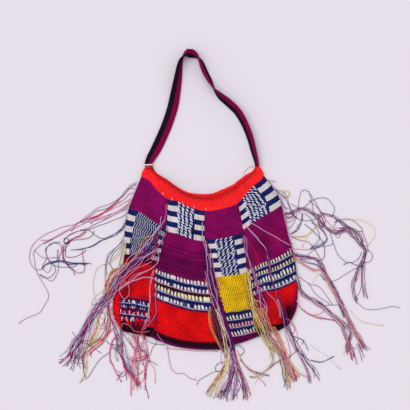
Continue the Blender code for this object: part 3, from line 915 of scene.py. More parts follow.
@dataclass(frozen=True)
class Course:
    """One course of stitches: how it lies, the colours it repeats and its height."""

    style: Style
    unit: str
    height: float = 1.0
    columns: int = 0


@dataclass(frozen=True)
class Panel:
    """Part of a band's width with its own courses, narrower or wider at its foot."""

    top: float
    foot: float
    columns: int
    courses: tuple[Course, ...]
    sway: float = 0.0
    waves: float = 0.0
    lean: float = 0.0
    mess: float = 0.0
    bulk: float = 0.94


@dataclass(frozen=True)
class Band:
    """A patch of the chart, down to a height on the left and on the right seam."""

    left_y: float
    right_y: float
    panels: tuple[Panel, ...]


def plain(columns: int, rows: int, *units: str) -> tuple[Panel, ...]:
    """Return one panel of looped rows whose colours repeat down the units."""
    courses = tuple(Course(Style.LOOPS, units[row % len(units)]) for row in range(rows))
    return (Panel(1.0, 1.0, columns, courses),)


def patch(share: float, foot: float, columns: int, rows: int, unit: str) -> Panel:
    """Return a panel of plain looped rows in one colour."""
    return Panel(share, foot, columns, (Course(Style.LOOPS, unit),) * rows)


def blocks(share: float, foot: float, columns: int, units: str) -> Panel:
    """Return a panel of solid ribbed blocks, one colour above the other."""
    return Panel(share, foot, columns, tuple(Course(Style.RIB, unit) for unit in units))


def ropes(
    share: float, foot: float, columns: int, rows: int, lean: float, bulk: float
) -> Panel:
    """Make a panel of upright two-colour cords.

    Args:
        share: The panel's share of the band's width at its top.
        foot: Its share at its foot.
        columns: How many cords it has.
        rows: How many dashes each cord has.
        lean: How far the pale yarn leans, in radians.
        bulk: The pale yarn's width as a share of a cord.

    Returns:
        The panel.
    """
    courses = (Course(Style.ROPE, "FN"),) * rows
    return Panel(share, foot, columns, courses, 0.16, 2.5, lean, bulk=bulk)


def stripes(*rows: tuple[Style, str, float, int]) -> tuple[Course, ...]:
    """Return courses from rows of style, unit, height and columns."""
    return tuple(Course(*row) for row in rows)


T, N, B = Style.TEETH, Style.LINE, Style.LOOPS
GORE_CHARTS = (
    (
        Band(38, -3, plain(16, 17, "M")),
        Band(
            -54, -68,
            (
                blocks(0.23, 0.19, 6, "NWNWNWNW"),
                Panel(0.66, 0.70, 24, (Course(Style.ROPE, "NF"),) * 28, 0.7, 4.0),
                blocks(0.12, 0.14, 3, "NWNWNWKJ"),
            ),
        ),
        Band(-62, -78, plain(16, 2, "D", "V")),
        Band(-140, -150, plain(15, 16, "R")),
        Band(
            -194, -201,
            (
                Panel(
                    0.84, 0.84, 20,
                    stripes(
                        (B, "VND", 1.6, 20), (T, "NWNVNWV", 2.4, 28), (N, "L", 0.45, 10),
                        (B, "N", 1.8, 20), (T, "NJNWNLND", 1.8, 28), (N, "D", 0.45, 10),
                        (B, "NDV", 1.4, 20), (T, "WRNDINDR", 2.6, 28), (N, "L", 0.45, 10),
                        (B, "NV", 2.0, 20), (T, "NWDRNIRV", 3.2, 26), (B, "DRV", 2.6, 20),
                    ),
                    mess=0.6, bulk=0.8,
                ),
                patch(0.16, 0.16, 3, 11, "R"),
            ),
        ),
        Band(-400, -400, plain(14, 3, "K")),
    ),
    (
        Band(
            -7, -28,
            (
                blocks(0.34, 0.33, 9, "NWNWNW"),
                ropes(0.46, 0.41, 8, 11, 1.0, 0.46),
                blocks(0.20, 0.26, 7, "NWNWNW"),
            ),
        ),
        Band(
            -84, -110,
            plain(
                20, 20, "M", "M", "M", "M", "M", "M", "U", "M", "U", "M", "U", "U", "P", "U",
                "U", "P", "U", "P", "U", "U",
            ),
        ),
        Band(
            -142, -172,
            (
                Panel(
                    1.0, 1.0, 34,
                    stripes(
                        (T, "WVWD", 2.8, 32), (N, "L", 0.6, 16), (B, "N", 3.2, 26),
                        (T, "WNWVWN", 2.4, 32), (N, "J", 0.6, 16), (B, "Q", 2.7, 26),
                        (T, "CQ", 3.4, 32), (N, "L", 0.6, 16), (B, "N", 3.2, 26),
                        (T, "WN", 2.8, 34), (N, "L", 0.6, 16), (B, "V", 1.6, 26),
                    ), mess=0.2, bulk=1.25,
                ),
            ),
        ),
        Band(-205, -229, plain(24, 13, "R")),
        Band(-214, -244, plain(24, 4, "D", "K", "K", "K")),
        Band(-400, -400, plain(24, 2, "P")),
    ),
    (
        Band(-24, -11, plain(16, 13, "M")),
        Band(
            -100, -90,
            (
                patch(0.04, 0.2, 2, 17, "P"),
                blocks(0.22, 0.18, 7, "NWNWNWNW"),
                ropes(0.50, 0.42, 8, 17, -0.9, 0.36),
                blocks(0.24, 0.20, 7, "NWNWNWNW"),
            ),
        ),
        Band(
            -172, -163,
            (
                patch(0.2, 0.3, 5, 16, "P"),
                patch(0.8, 0.7, 13, 16, "Y"),
            ),
        ),
        Band(
            -224, -209,
            (
                patch(0.3, 0.4, 7, 12, "P"),
                Panel(
                    0.7, 0.6, 16,
                    stripes(
                        (B, "N", 3.2, 14), (T, "WK", 3.2, 16),
                        (N, "L", 0.6, 8), (B, "N", 3.0, 14), (T, "ID", 3.0, 16),
                        (N, "L", 0.6, 8), (B, "N", 2.8, 14), (T, "WK", 3.6, 16),
                        (N, "J", 0.6, 8),
                    ),
                ),
            ),
        ),
        Band(-400, -400, plain(17, 3, "P")),
    ),
    (
        Band(
            -5, 44,
            (
                blocks(0.20, 0.20, 6, "NWNWNW"),
                ropes(0.54, 0.53, 10, 12, 0.7, 0.42),
                blocks(0.26, 0.27, 8, "NWNWNW"),
            ),
        ),
        Band(-88, -44, plain(18, 20, "M")),
        Band(
            -144, -108,
            (
                Panel(
                    1.0, 1.0, 36,
                    stripes(
                        (T, "WK", 3.2, 34), (N, "L", 0.6, 16), (B, "NV", 2.5, 22),
                        (T, "CK", 2.6, 34), (N, "L", 0.6, 16), (B, "N", 2.7, 22),
                        (T, "WK", 3.9, 32), (N, "L", 0.6, 16), (B, "N", 3.2, 22),
                        (T, "WN", 2.6, 26), (N, "L", 0.6, 16), (B, "V", 1.6, 22),
                    ),
                ),
            ),
        ),
        Band(-205, -182, plain(17, 14, "R")),
        Band(-400, -400, plain(16, 4, "K")),
    ),
)
# Blotches blended over the charted colours: middle x and y, turn in degrees, length, width,
# letter and strength. The black one at the fold on gore 4's right side is painted shade in that
# fold.
BLOTCHES = (
    (-160, -68, 10, 40, 14, "D", 0.7), (-160, -124, 20, 26, 8, "D", 0.5),
    (-120, -90, 60, 50, 10, "D", 0.5), (-130, -142, -8, 40, 4, "V", 0.4),
    (-140, -204, 0, 26, 9, "D", 0.9), (-148, -96, 45, 46, 7, "V", 0.55),
    (-168, -132, 70, 34, 8, "D", 0.6),
    (98, -44, 60, 64, 14, "D", 0.5), (94, -60, 80, 30, 8, "R", 0.15),
    (100, -28, -50, 60, 11, "V", 0.45), (134, -22, -30, 40, 6, "R", 0.14),
    (100, -140, 50, 50, 22, "P", 0.8), (160, -172, 74, 56, 19, "K", 1.0),
    (176, -152, 84, 60, 7, "P", 0.95), (138, -200, 20, 34, 6, "K", 0.9),
    (118, -176, 60, 50, 12, "D", 0.4),
    (20, -118, 80, 60, 5, "A", 0.4),
)

# Yarn ends by fringe: each hank's colours, how many strands it has, how wide it lies and its
# route. The routes' points were chosen by eye, but this table's text was written out by a helper
# script that scaled and rounded them to millimetres.
FRINGES = {
    "fringe_left_upper": (
        ("p", 1, 0, "-144,90 -156,84 -166,74 -178,60 -192,50 -210,42 -226,36 -238,28 -250,18 "
         "-260,10 -270,0 -276,-10"),
        ("v", 1, 0, "-146,86 -156,80 -164,72 -176,58 -192,46 -208,36 -224,32 -236,24 -254,12 "
         "-266,6"),
        ("p", 1, 0, "-147,76 -158,78 -166,74 -174,64 -188,48 -202,36 -218,26 -234,16 -250,8 "
         "-264,0 -278,-6 -294,-14 -314,-25 -332,-34"),
        ("p", 1, 0, "-149,68 -160,66 -170,56 -182,48 -198,36 -214,26 -230,18 -246,14 -266,6 "
         "-286,2 -304,-4 -322,-12 -338,-22 -348,-30 -356,-42 -360,-58 -359,-70 -354,-80 "
         "-346,-87 -336,-88"),
        ("r", 1, 0, "-178,52 -192,42 -206,32 -220,22 -234,16"),
        ("r", 1, 0, "-182,52 -196,41 -210,30 -224,22 -242,16"),
        ("p", 1, 0, "-153,56 -162,48 -170,36 -182,32 -194,26 -208,18 -226,14 -242,10 -258,10"),
        ("i", 1, 0, "-152,60 -164,52 -178,44 -198,34 -222,24 -250,14 -270,2 -288,-8 -306,-18 "
         "-322,-26 -338,-26"),
        ("p", 1, 0, "-157,46 -166,36 -174,32 -194,22 -210,14 -226,6 -242,-2 -262,-8 -282,-18 "
         "-292,-24"),
        ("i", 1, 0, "-156,50 -168,42 -186,30 -206,22 -226,16 -238,6"),
        ("n", 1, 0, "-161,30 -176,20 -194,12 -210,6 -226,0 -238,-4 -250,-7 -262,-8 -274,-12 "
         "-284,-20"),
        ("n", 1, 0, "-163,22 -170,6 -180,-6 -192,-16 -206,-22 -218,-23 -230,-16 -238,-8 -246,-6 "
         "-258,-6"),
        ("n", 1, 0, "-166,6 -176,-8 -190,-18 -204,-24 -218,-28 -232,-36 -246,-42 -262,-46 "
         "-278,-46"),
        ("n", 1, 0, "-166,10 -174,-4 -190,-14 -206,-22 -220,-30 -236,-40 -250,-43 -270,-46"),
        ("p", 1, 0, "-314,-24 -334,-34 -352,-50 -350,-66 -346,-90 -330,-118 -322,-140 -332,-160 "
         "-342,-174 -368,-184 -382,-194"),
        ("n", 1, 0, "-312,-32 -324,-40 -328,-50 -320,-70 -302,-80 -274,-80 -262,-74 -246,-74"),
        ("n", 1, 0, "-298,-30 -314,-32 -326,-42 -327,-56 -320,-68 -310,-72"),
        ("g", 1, 0, "-312,-32 -298,-34 -294,-42 -302,-66 -306,-70"),
        ("g", 1, 0, "-304,-46 -302,-86 -310,-104 -318,-108 -334,-98 -342,-94"),
        ("g", 1, 0, "-314,-72 -308,-86 -318,-100 -330,-102 -340,-96"),
        ("p", 1, 0, "-326,-62 -334,-80 -324,-92 -316,-82 -318,-70"),
        ("n", 3, 3.4, "-338,-86 -326,-74 -302,-68 -278,-74 -258,-74 -242,-75"),
        ("n", 2, 1.4, "-280,-28 -286,-34 -292,-28 -286,-22 -280,-28 -286,-34"),
        ("rpr", 3, 3, "-246,-8 -258,-18 -268,-22 -284,-32 -290,-36"),
        ("p", 1, 0, "-230,-8 -236,-18 -248,-24 -268,-26 -278,-30 -292,-50 -292,-70 -276,-82 "
         "-268,-98"),
        ("p", 1, 0, "-254,-48 -252,-70 -249,-86 -254,-92 -262,-93 -272,-86 -286,-74"),
        ("p", 1, 0, "-288,-38 -288,-50 -286,-60 -270,-60 -254,-52 -246,-46"),
        ("p", 1, 0, "-350,-48 -336,-60 -318,-62 -306,-61"),
        ("pi", 2, 3, "-292,-36 -294,-56 -292,-70"),
        ("n", 2, 2.4, "-314,-70 -298,-69 -278,-73 -258,-73 -236,-74"),
        ("g", 1, 0, "-302,-46 -304,-62 -306,-72"),
        ("p", 1, 0, "-298,-38 -294,-54 -286,-74 -276,-86"),
    ),
    "fringe_left_side": (
        ("n", 1, 0, "-169,-18 -178,-32 -192,-46 -202,-54 -207,-70 -208,-90 -208,-116 -206,-140"),
        ("g", 1, 0, "-169,-26 -182,-38 -194,-50 -202,-62 -206,-78 -206,-98"),
        ("n", 1, 0, "-170,-34 -178,-40 -192,-54 -198,-66 -198,-76 -192,-88"),
        ("g", 1, 0, "-173,-46 -178,-66 -180,-82"),
        ("c", 1, 0, "-206,-72 -222,-82 -230,-98 -232,-126 -228,-146 -222,-170"),
        ("c", 1, 0, "-210,-126 -224,-136 -232,-146 -236,-158"),
        ("osAso", 8, 11, "-180,-84 -192,-92 -199,-106 -202,-122 -205,-138"),
        ("rp", 2, 3, "-182,-84 -198,-96 -206,-114 -208,-140"),
        ("c", 3, 4.4, "-166,-28 -169,-48 -173,-70 -180,-86"),
        ("y", 1, 0, "-170,-44 -167,-50 -166,-56"),
        ("nn", 2, 1.4, "-204,-146 -218,-152 -232,-155"),
        ("c", 2, 3.6, "-170,-38 -186,-58 -198,-70 -210,-78"),
    ),
    "fringe_left_seam": (
        ("vpnwvpwn", 7, 15, "-86,22 -92,6 -104,-10 -114,-28 -128,-46 -146,-62 -164,-80 -178,-98 "
         "-194,-126 -214,-152 -238,-182 -250,-206 -264,-230 -278,-256 -286,-270"),
        ("vnpv", 4, 10, "-84,2 -92,-20 -102,-36 -118,-52 -142,-68 -162,-84 -180,-104 -196,-128 "
         "-214,-154 -238,-184 -250,-206 -264,-232 -276,-254"),
        ("h", 1, 0, "-86,46 -86,30 -90,12 -102,-6 -112,-20 -118,-34 -128,-46 -146,-58 -164,-76 "
         "-180,-90 -192,-106 -198,-122"),
        ("w", 1, 0, "-82,-6 -90,-20 -98,-32 -106,-42 -118,-54 -138,-66 -156,-78 -174,-96 "
         "-194,-120"),
        ("rse", 3, 5, "-108,-16 -124,-24 -132,-34 -136,-46 -144,-60 -162,-76 -184,-102"),
        ("n", 2, 5, "-106,-26 -116,-38 -126,-50 -140,-62 -162,-82"),
        ("vpnwp", 6, 13, "-98,-38 -126,-58 -154,-80 -180,-112 -198,-138 -220,-164 -242,-190 "
         "-254,-214 -268,-238 -274,-266 -268,-274"),
        ("vpnwh", 6, 14, "-106,-46 -138,-62 -164,-80 -184,-102 -196,-128 -208,-150 -230,-174 "
         "-242,-200 -250,-226 -258,-250 -258,-272"),
        ("rp", 2, 2, "-274,-250 -286,-262 -300,-274"),
        ("r", 1, 0, "-278,-252 -290,-264 -302,-268"),
        ("nr", 2, 2.4, "-270,-254 -280,-268 -286,-280"),
        ("nv", 2, 2, "-268,-256 -272,-272 -278,-286"),
        ("n", 1, 0, "-266,-260 -270,-278 -274,-290"),
        ("vn", 2, 2, "-234,-222 -242,-236 -250,-256 -252,-286 -248,-302"),
        ("cy", 2, 2, "-238,-230 -246,-246 -244,-282 -256,-310"),
        ("yc", 3, 4, "-218,-174 -224,-186 -228,-210 -234,-222 -242,-242"),
        ("oyvr", 4, 4, "-202,-166 -202,-196 -210,-222 -224,-228 -242,-240"),
        ("pr", 3, 3, "-200,-174 -200,-206 -210,-228 -224,-242 -242,-258"),
        ("n", 1, 0, "-274,-210 -266,-222 -258,-230 -244,-236"),
        ("n", 1, 0, "-250,-230 -232,-242 -216,-254"),
        ("i", 1, 0, "-169,-108 -160,-118 -160,-134 -169,-144 -178,-134 -178,-118 -169,-108"),
        ("r", 2, 4, "-102,-18 -106,-34 -110,-46 -124,-58"),
        ("wi", 2, 1.2, "-103,-46 -100,-58 -102,-70 -110,-78 -118,-84 -134,-92 -146,-100 "
         "-162,-114 -186,-130"),
        ("iB", 2, 4, "-102,-42 -108,-52 -116,-60 -128,-66"),
        ("i", 1, 0, "-114,-70 -142,-82 -162,-98 -186,-122 -210,-150"),
        ("hw", 2, 2.4, "-106,-104 -122,-100 -138,-102 -162,-112 -186,-130 -214,-158"),
        ("w", 1, 0, "-106,-46 -138,-60 -158,-70 -182,-90 -202,-118"),
        ("i", 1, 0, "-110,-78 -126,-88 -146,-94 -162,-110 -176,-126"),
        ("w", 1, 0, "-210,-156 -218,-170 -224,-186 -226,-204 -234,-222"),
        ("i", 1, 0, "-206,-158 -216,-174 -224,-190 -232,-210 -242,-230"),
        ("p", 1, 0, "-214,-170 -222,-182 -218,-200 -210,-190 -208,-178 -216,-168"),
        ("i", 1, 0, "-220,-182 -212,-186 -210,-200 -218,-206 -226,-198 -224,-186"),
        ("c", 3, 3, "-204,-164 -212,-186 -220,-206 -228,-222 -238,-232"),
        ("w", 1, 0, "-202,-170 -206,-194 -214,-214 -230,-230 -242,-238"),
        ("v", 1, 0, "-194,-138 -204,-162 -210,-182 -208,-202 -218,-222 -234,-228 -258,-228"),
        ("i", 1, 0, "-196,-158 -198,-190 -204,-210 -216,-226 -228,-238 -238,-250 -236,-262"),
        ("ri", 2, 3, "-190,-202 -204,-216 -220,-232 -236,-246 -250,-256 -258,-268"),
        ("o", 1, 0, "-214,-226 -230,-238 -242,-250 -246,-270 -244,-286"),
        ("c", 1, 0, "-242,-246 -250,-266 -246,-290 -260,-314"),
        ("v", 1, 0, "-274,-246 -286,-260 -302,-273"),
        ("n", 1, 0, "-270,-252 -282,-268 -294,-280"),
        ("v", 1, 0, "-262,-242 -260,-262 -266,-280"),
        ("i", 1, 0, "-258,-246 -264,-266 -258,-284"),
        ("n", 1, 0, "-252,-250 -254,-270 -246,-288"),
        ("v", 1, 0, "-250,-238 -260,-254 -272,-270 -254,-274"),
    ),
    "fringe_left_foot": (
        ("pi", 2, 3, "-182,-214 -196,-236 -198,-266 -188,-290 -176,-312"),
        ("p", 1, 0, "-184,-214 -194,-230 -192,-244 -180,-238 -172,-236"),
        ("v", 1, 0, "-206,-228 -198,-236 -184,-236 -172,-240"),
        ("p", 1, 0, "-192,-234 -198,-250 -198,-274"),
        ("npn", 3, 4.4, "-192,-240 -180,-254 -170,-272 -158,-292"),
        ("gnw", 3, 6, "-180,-202 -174,-230 -166,-254 -158,-278 -150,-300"),
        ("i", 1, 0, "-150,-302 -162,-294 -166,-282 -174,-296 -184,-288"),
        ("n", 1, 0, "-182,-296 -172,-300 -162,-288"),
        ("n", 1, 0, "-152,-298 -140,-296 -132,-288"),
        ("rir", 4, 5, "-170,-278 -158,-298 -146,-312 -140,-322"),
        ("ir", 3, 9, "-152,-214 -150,-238 -150,-262 -142,-290 -146,-322"),
        ("ri", 2, 7, "-140,-214 -144,-238 -136,-258 -130,-268"),
        ("i", 1, 0, "-136,-214 -124,-236 -122,-258 -126,-290 -134,-310 -144,-318"),
        ("r", 1, 0, "-126,-212 -134,-234 -138,-258 -130,-282 -128,-322"),
        ("n", 1, 0, "-142,-230 -132,-250 -118,-266"),
        ("v", 1, 0, "-162,-222 -150,-246 -138,-250 -124,-246 -122,-260"),
        ("i", 2, 3, "-166,-264 -150,-266 -134,-260 -116,-270"),
        ("r", 1, 0, "-158,-260 -142,-268 -120,-258"),
        ("p", 1, 0, "-110,-220 -106,-232 -114,-244 -120,-260"),
        ("w", 1, 0, "-170,-210 -150,-224 -134,-238 -126,-262"),
        ("cw", 2, 3, "-172,-210 -182,-226 -188,-246 -184,-270"),
        ("rr", 3, 4, "-114,-178 -126,-194 -134,-208 -128,-224"),
        ("n", 1, 0, "-198,-250 -224,-272 -240,-298 -250,-305"),
        ("pvrpi", 6, 4, "-176,-206 -174,-236 -174,-256 -170,-276 -164,-288 -146,-306 -140,-320"),
        ("ng", 2, 3, "-184,-222 -184,-246 -168,-272 -158,-286 -150,-302"),
        ("n", 1, 0, "-170,-278 -166,-294 -165,-308"),
        ("n", 1, 0, "-174,-290 -180,-302 -186,-308"),
        ("rin", 3, 11, "-144,-212 -144,-246 -146,-276 -144,-302 -142,-330"),
        ("ri", 2, 6, "-132,-212 -128,-246 -130,-270 -128,-294 -128,-328"),
        ("i", 2, 2, "-152,-266 -156,-290 -156,-316 -156,-340"),
        ("n", 1, 0, "-130,-294 -128,-316 -120,-345"),
        ("i", 1, 0, "-130,-258 -118,-274 -110,-286 -107,-314"),
        ("n", 1, 0, "-130,-262 -122,-266 -104,-278"),
        ("n", 1, 0, "-158,-270 -142,-272 -132,-276 -126,-294 -128,-306"),
        ("v", 1, 0, "-170,-216 -162,-230 -152,-240 -144,-244 -128,-250 -124,-262 -138,-268 "
         "-156,-268"),
        ("iw", 2, 2.6, "-110,-86 -118,-116 -118,-146 -120,-170 -124,-190 -134,-206"),
        ("ip", 2, 2.4, "-108,-116 -106,-146 -106,-170 -118,-190 -134,-208"),
        ("c", 1, 0, "-120,-152 -120,-170 -120,-190"),
        ("i", 1, 0, "-176,-200 -172,-192 -158,-198 -150,-208 -134,-210 -118,-208"),
        ("g", 1, 0, "-132,-222 -118,-232 -104,-236 -88,-237"),
        ("i", 1, 0, "-104,-212 -92,-230 -84,-238 -80,-270 -72,-288 -64,-294 -50,-294 -38,-304 "
         "-24,-308"),
        ("i", 1, 0, "-88,-244 -48,-247 -8,-249 18,-250"),
        ("ii", 2, 2, "-192,-146 -194,-176 -184,-196 -174,-210"),
        ("pvnp", 5, 6, "-202,-146 -200,-176 -190,-202 -182,-226 -178,-250"),
        ("ir", 2, 3, "-152,-214 -142,-238 -126,-258 -126,-278 -130,-306"),
    ),
    "fringe_middle_seam": (
        ("vvn", 6, 8, "-6,-20 -4,-62 4,-110 16,-154 30,-190 42,-222 48,-250 46,-282 40,-314 "
         "24,-350"),
        ("pvBw", 5, 8, "-8,-18 -6,-62 2,-110 14,-154 28,-190 42,-222 48,-250 52,-286 52,-318 "
         "52,-346"),
        ("w", 2, 1.4, "-13,10 -12,-26 -6,-48 1,-66 4,-86 8,-106 14,-130 18,-156 28,-190 40,-226"),
        ("h", 1, 0, "-10,-26 -4,-44 1,-60 6,-82"),
        ("hv", 2, 1.6, "-6,-26 2,-48 6,-66 10,-86 13,-100 20,-126"),
        ("h", 1, 0, "-8,-88 -4,-106 4,-126 6,-144 12,-164 26,-188 36,-212"),
        ("i", 1, 0, "-8,-104 -2,-120 4,-140 8,-158"),
        ("vSvp", 6, 6, "-8,-16 -4,-58 6,-106 18,-150 32,-190 44,-226 50,-254 58,-286 68,-316 "
         "74,-346"),
        ("vp", 3, 4, "-6,-26 0,-78 12,-134 30,-186 44,-226 54,-262 70,-306 82,-338"),
        ("oAsoe", 6, 5, "4,-158 2,-176 4,-196 14,-220 26,-244 34,-260 34,-276 18,-302 -4,-332"),
        ("cccwy", 5, 12, "34,-262 36,-274 26,-298 12,-320 0,-342"),
        ("n", 1, 0, "32,-276 24,-292 8,-316 -6,-334"),
        ("ccc", 3, 6, "36,-262 32,-286 24,-314 14,-344"),
        ("oAo", 3, 4, "2,-170 3,-190 10,-214 24,-242"),
        ("cecgc", 6, 8, "12,-162 22,-186 30,-210 33,-236 36,-262"),
        ("Bpe", 6, 10, "6,-158 12,-190 22,-222 34,-250"),
        ("phnr", 5, 8, "46,-246 48,-270 42,-298 30,-324 20,-348"),
        ("gh", 2, 4, "48,-266 44,-294 38,-322 36,-350"),
        ("hvnw", 4, 6, "48,-250 54,-278 54,-306 50,-330 48,-352"),
        ("prhs", 5, 7, "50,-250 60,-278 68,-306 72,-330 72,-350"),
        ("rn", 2, 4, "62,-282 70,-306 76,-326 82,-342"),
        ("w", 1, 0, "26,-250 24,-266 30,-282 44,-306 58,-330"),
        ("n", 1, 0, "60,-306 62,-322 54,-338 46,-346"),
        ("v", 1, 0, "42,-330 30,-328 22,-334"),
        ("n", 1, 0, "32,-272 20,-273 12,-282 16,-290 28,-286"),
        ("n", 1, 0, "36,-288 14,-290 -4,-298 -18,-306 -25,-318"),
        ("g", 1, 0, "54,-234 66,-242 71,-250 62,-258"),
        ("nn", 2, 3, "62,-266 74,-278 86,-288 104,-294 122,-298"),
        ("vr", 3, 3, "54,-278 46,-306 38,-322 22,-334"),
        ("n", 2, 3, "48,-290 38,-322 34,-346"),
        ("is", 2, 3, "58,-254 68,-270 80,-284 98,-296"),
        ("w", 1, 0, "56,-246 62,-260 70,-278 84,-290"),
    ),
    "fringe_right_seam": (
        ("vpvpwv", 6, 8, "68,-10 74,-46 86,-86 96,-116 102,-142 106,-174 114,-206 128,-230 "
         "144,-252 156,-274 166,-294 176,-312"),
        ("pvh", 4, 7, "74,-18 82,-62 94,-106 102,-130 106,-154 108,-186 120,-218 136,-238 "
         "152,-262 162,-286 178,-314"),
        ("ycec", 6, 8, "76,-86 80,-126 88,-166 100,-202 114,-230 124,-248 128,-262"),
        ("yce", 3, 2.6, "114,-222 124,-244 129,-262 124,-278 104,-296 92,-301 78,-301"),
        ("ecey", 6, 6, "78,-106 86,-146 96,-178 108,-206 122,-234 140,-258 150,-286 158,-322"),
        ("yw", 3, 6, "78,-114 86,-138 98,-162 108,-186 118,-210 132,-238 146,-262"),
        ("Be", 3, 6, "82,-150 90,-174 100,-198 110,-218"),
        ("srsoA", 8, 8, "104,-158 114,-182 126,-204 138,-222 146,-240 154,-260 158,-276 "
         "166,-298 174,-314"),
        ("so", 3, 5, "128,-198 138,-216 146,-232 152,-254"),
        ("n", 2, 2, "148,-274 154,-302 150,-322"),
        ("v", 1, 0, "154,-298 156,-314 157,-328"),
        ("y", 2, 2.4, "154,-278 160,-302 163,-324"),
        ("r", 2, 3, "162,-274 172,-290 182,-302"),
        ("co", 2, 3, "158,-262 178,-290 190,-298 202,-302"),
        ("vp", 2, 2, "106,-294 122,-282 136,-272 162,-260 180,-244"),
        ("i", 1, 0, "94,-300 106,-308 114,-319"),
        ("c", 1, 0, "92,-316 100,-304 110,-299"),
        ("iw", 2, 2, "82,-144 98,-148 110,-156 116,-166 112,-178"),
        ("i", 1, 0, "94,-116 118,-132 134,-150 140,-166 140,-182"),
        ("w", 1, 0, "98,-118 110,-146 116,-162 114,-178"),
        ("cy", 3, 4, "78,-82 84,-136 96,-182 114,-218"),
    ),
    "fringe_right_gore": (
        ("nvpv", 4, 5, "112,-42 118,-66 122,-96 134,-130 150,-170 158,-196 180,-242 196,-270 "
         "208,-286 220,-312"),
        ("pvph", 4, 5, "138,-138 148,-178 156,-206 172,-238 186,-266 198,-294 202,-316"),
        ("g", 1, 0, "206,-276 216,-286 222,-300"),
        ("h", 1, 0, "69,6 82,-8 98,-26 113,-43 119,-70 124,-98 132,-126"),
        ("nn", 2, 1.6, "186,-254 198,-266 210,-269 226,-270 242,-264 252,-259"),
        ("n", 1, 0, "168,-218 186,-226 192,-232 200,-248"),
        ("n", 1, 0, "178,-222 190,-228 186,-236"),
        ("w", 1, 0, "82,10 122,-14 164,-38"),
        ("r", 1, 0, "74,-20 84,-38 94,-54 99,-70 96,-88"),
        ("w", 1, 0, "76,0 86,-10 102,-28 114,-44 118,-70 124,-98 132,-126 140,-156 144,-182"),
        ("p", 1, 0, "158,-190 170,-198 172,-210 162,-218"),
        ("i", 1, 0, "152,-182 166,-190 176,-210 178,-230"),
        ("p", 1, 0, "150,-206 160,-236 164,-256 162,-266"),
    ),
    "fringe_right_top": (
        ("g", 1, 0, "119,94 126,82 136,68 142,56 148,44 156,34"),
        ("n", 1, 0, "122,88 134,74 144,66 154,56 160,42 164,30 176,18 182,14"),
        ("g", 1, 0, "132,74 144,72 152,66 158,56 162,42 168,30"),
        ("w", 1, 0, "139,66 146,54 152,42 160,36"),
        ("w", 1, 0, "127,82 140,60 146,46"),
    ),
    "fringe_right_upper": (
        ("pvgnpg", 5, 6, "148,24 162,26 172,32 186,36 198,34 216,20 232,0 252,-14 276,-8 "
         "298,-26 314,-46 310,-62 302,-78 296,-96 290,-116 292,-138 298,-156"),
        ("pvnp", 4, 6, "222,28 248,22 272,2 294,-12 308,-34 314,-50 310,-76 308,-110 312,-134 "
         "316,-148"),
        ("n", 1, 0, "306,-70 306,-116 302,-132 294,-146 302,-156 314,-165 330,-166 346,-165 "
         "364,-160 383,-161"),
        ("g", 1, 0, "252,10 258,13 282,15 302,2 310,-14 318,-40 318,-50"),
        ("p", 1, 0, "314,-46 324,-50 328,-58 324,-68 316,-71 308,-68"),
        ("n", 1, 0, "240,-2 244,-14 254,-46 262,-60 272,-69 284,-72 298,-66 306,-50"),
        ("nv", 2, 1.6, "310,-80 296,-76 282,-71 274,-74 270,-76"),
        ("n", 1, 0, "308,-78 294,-84 282,-90 256,-106 238,-110"),
        ("p", 1, 0, "302,-78 296,-94 294,-112 298,-90"),
        ("n", 1, 0, "182,26 180,42 182,62 186,71 191,74 200,70 210,56 220,38 228,20"),
        ("n", 1, 0, "200,72 204,58 208,38 210,26"),
        ("g", 1, 0, "188,36 198,46 208,54 222,58 236,58 246,48 252,36 246,20"),
        ("g", 1, 0, "164,46 182,38 206,30 226,22"),
        ("ng", 2, 2.4, "206,10 222,-2 236,-22 232,-32 224,-38 202,-46"),
        ("g", 1, 0, "190,28 206,14 222,-16 218,-30 204,-42"),
        ("n", 1, 0, "192,6 222,-22 232,-42 230,-62 216,-68"),
        ("p", 2, 2.4, "148,28 170,28 166,20 154,18"),
        ("n", 1, 0, "188,26 186,10 178,-6 164,-14"),
        ("g", 1, 0, "180,6 176,-4 166,-12"),
        ("p", 1, 0, "186,30 188,14 194,12 218,16"),
        ("cy", 2, 1.6, "164,-20 182,-20 198,-16 212,-2 222,10 220,18"),
        ("c", 1, 0, "198,-16 192,-28 186,-42"),
        ("p", 1, 0, "166,-20 182,-26 198,-30 210,-42 222,-62 232,-82"),
        ("i", 1, 0, "160,-44 182,-45 200,-45"),
        ("n", 1, 0, "248,-26 246,-36 222,-40 206,-50 194,-62"),
        ("c", 1, 0, "282,14 306,14 326,2 334,-12 328,-26 318,-38"),
        ("c", 1, 0, "282,-166 296,-182 312,-192 350,-198"),
        ("p", 2, 2, "210,26 222,22 230,10 226,0 218,10"),
        ("pv", 2, 3.4, "218,26 226,10 242,-4 258,-8 274,-6"),
        ("pg", 2, 3, "262,-4 282,-2 298,-10 310,-30"),
        ("h", 2, 1.4, "147,42 152,18 155,0 160,-18 165,-36"),
        ("p", 1, 0, "250,22 256,10 250,2"),
        ("p", 1, 0, "148,26 158,20 166,18 174,28 184,34"),
        ("p", 1, 0, "150,14 158,10 166,12 174,22"),
        ("v", 1, 0, "152,0 160,-2 168,4 174,16 178,28"),
        ("g", 1, 0, "156,-14 168,-12 178,-2 184,12 188,28"),
        ("v", 1, 0, "154,30 168,24 180,15 196,12 218,16"),
        ("n", 1, 0, "250,10 266,12 278,0 292,-8 308,-10"),
        ("n", 1, 0, "218,10 228,-6 236,-18 236,-26 224,-34 206,-42"),
        ("p", 1, 0, "262,-8 280,-10 292,-22 302,-38 312,-46"),
        ("i", 1, 0, "226,26 234,14 246,2 258,-2 272,0"),
        ("p", 1, 0, "200,54 214,42 226,30 234,14 230,2"),
        ("v", 1, 0, "268,10 276,2 282,-8 288,-18"),
        ("p", 1, 0, "240,0 254,-6 264,-14 258,-22 254,-16 264,-8"),
    ),
    "fringe_right_lower": (
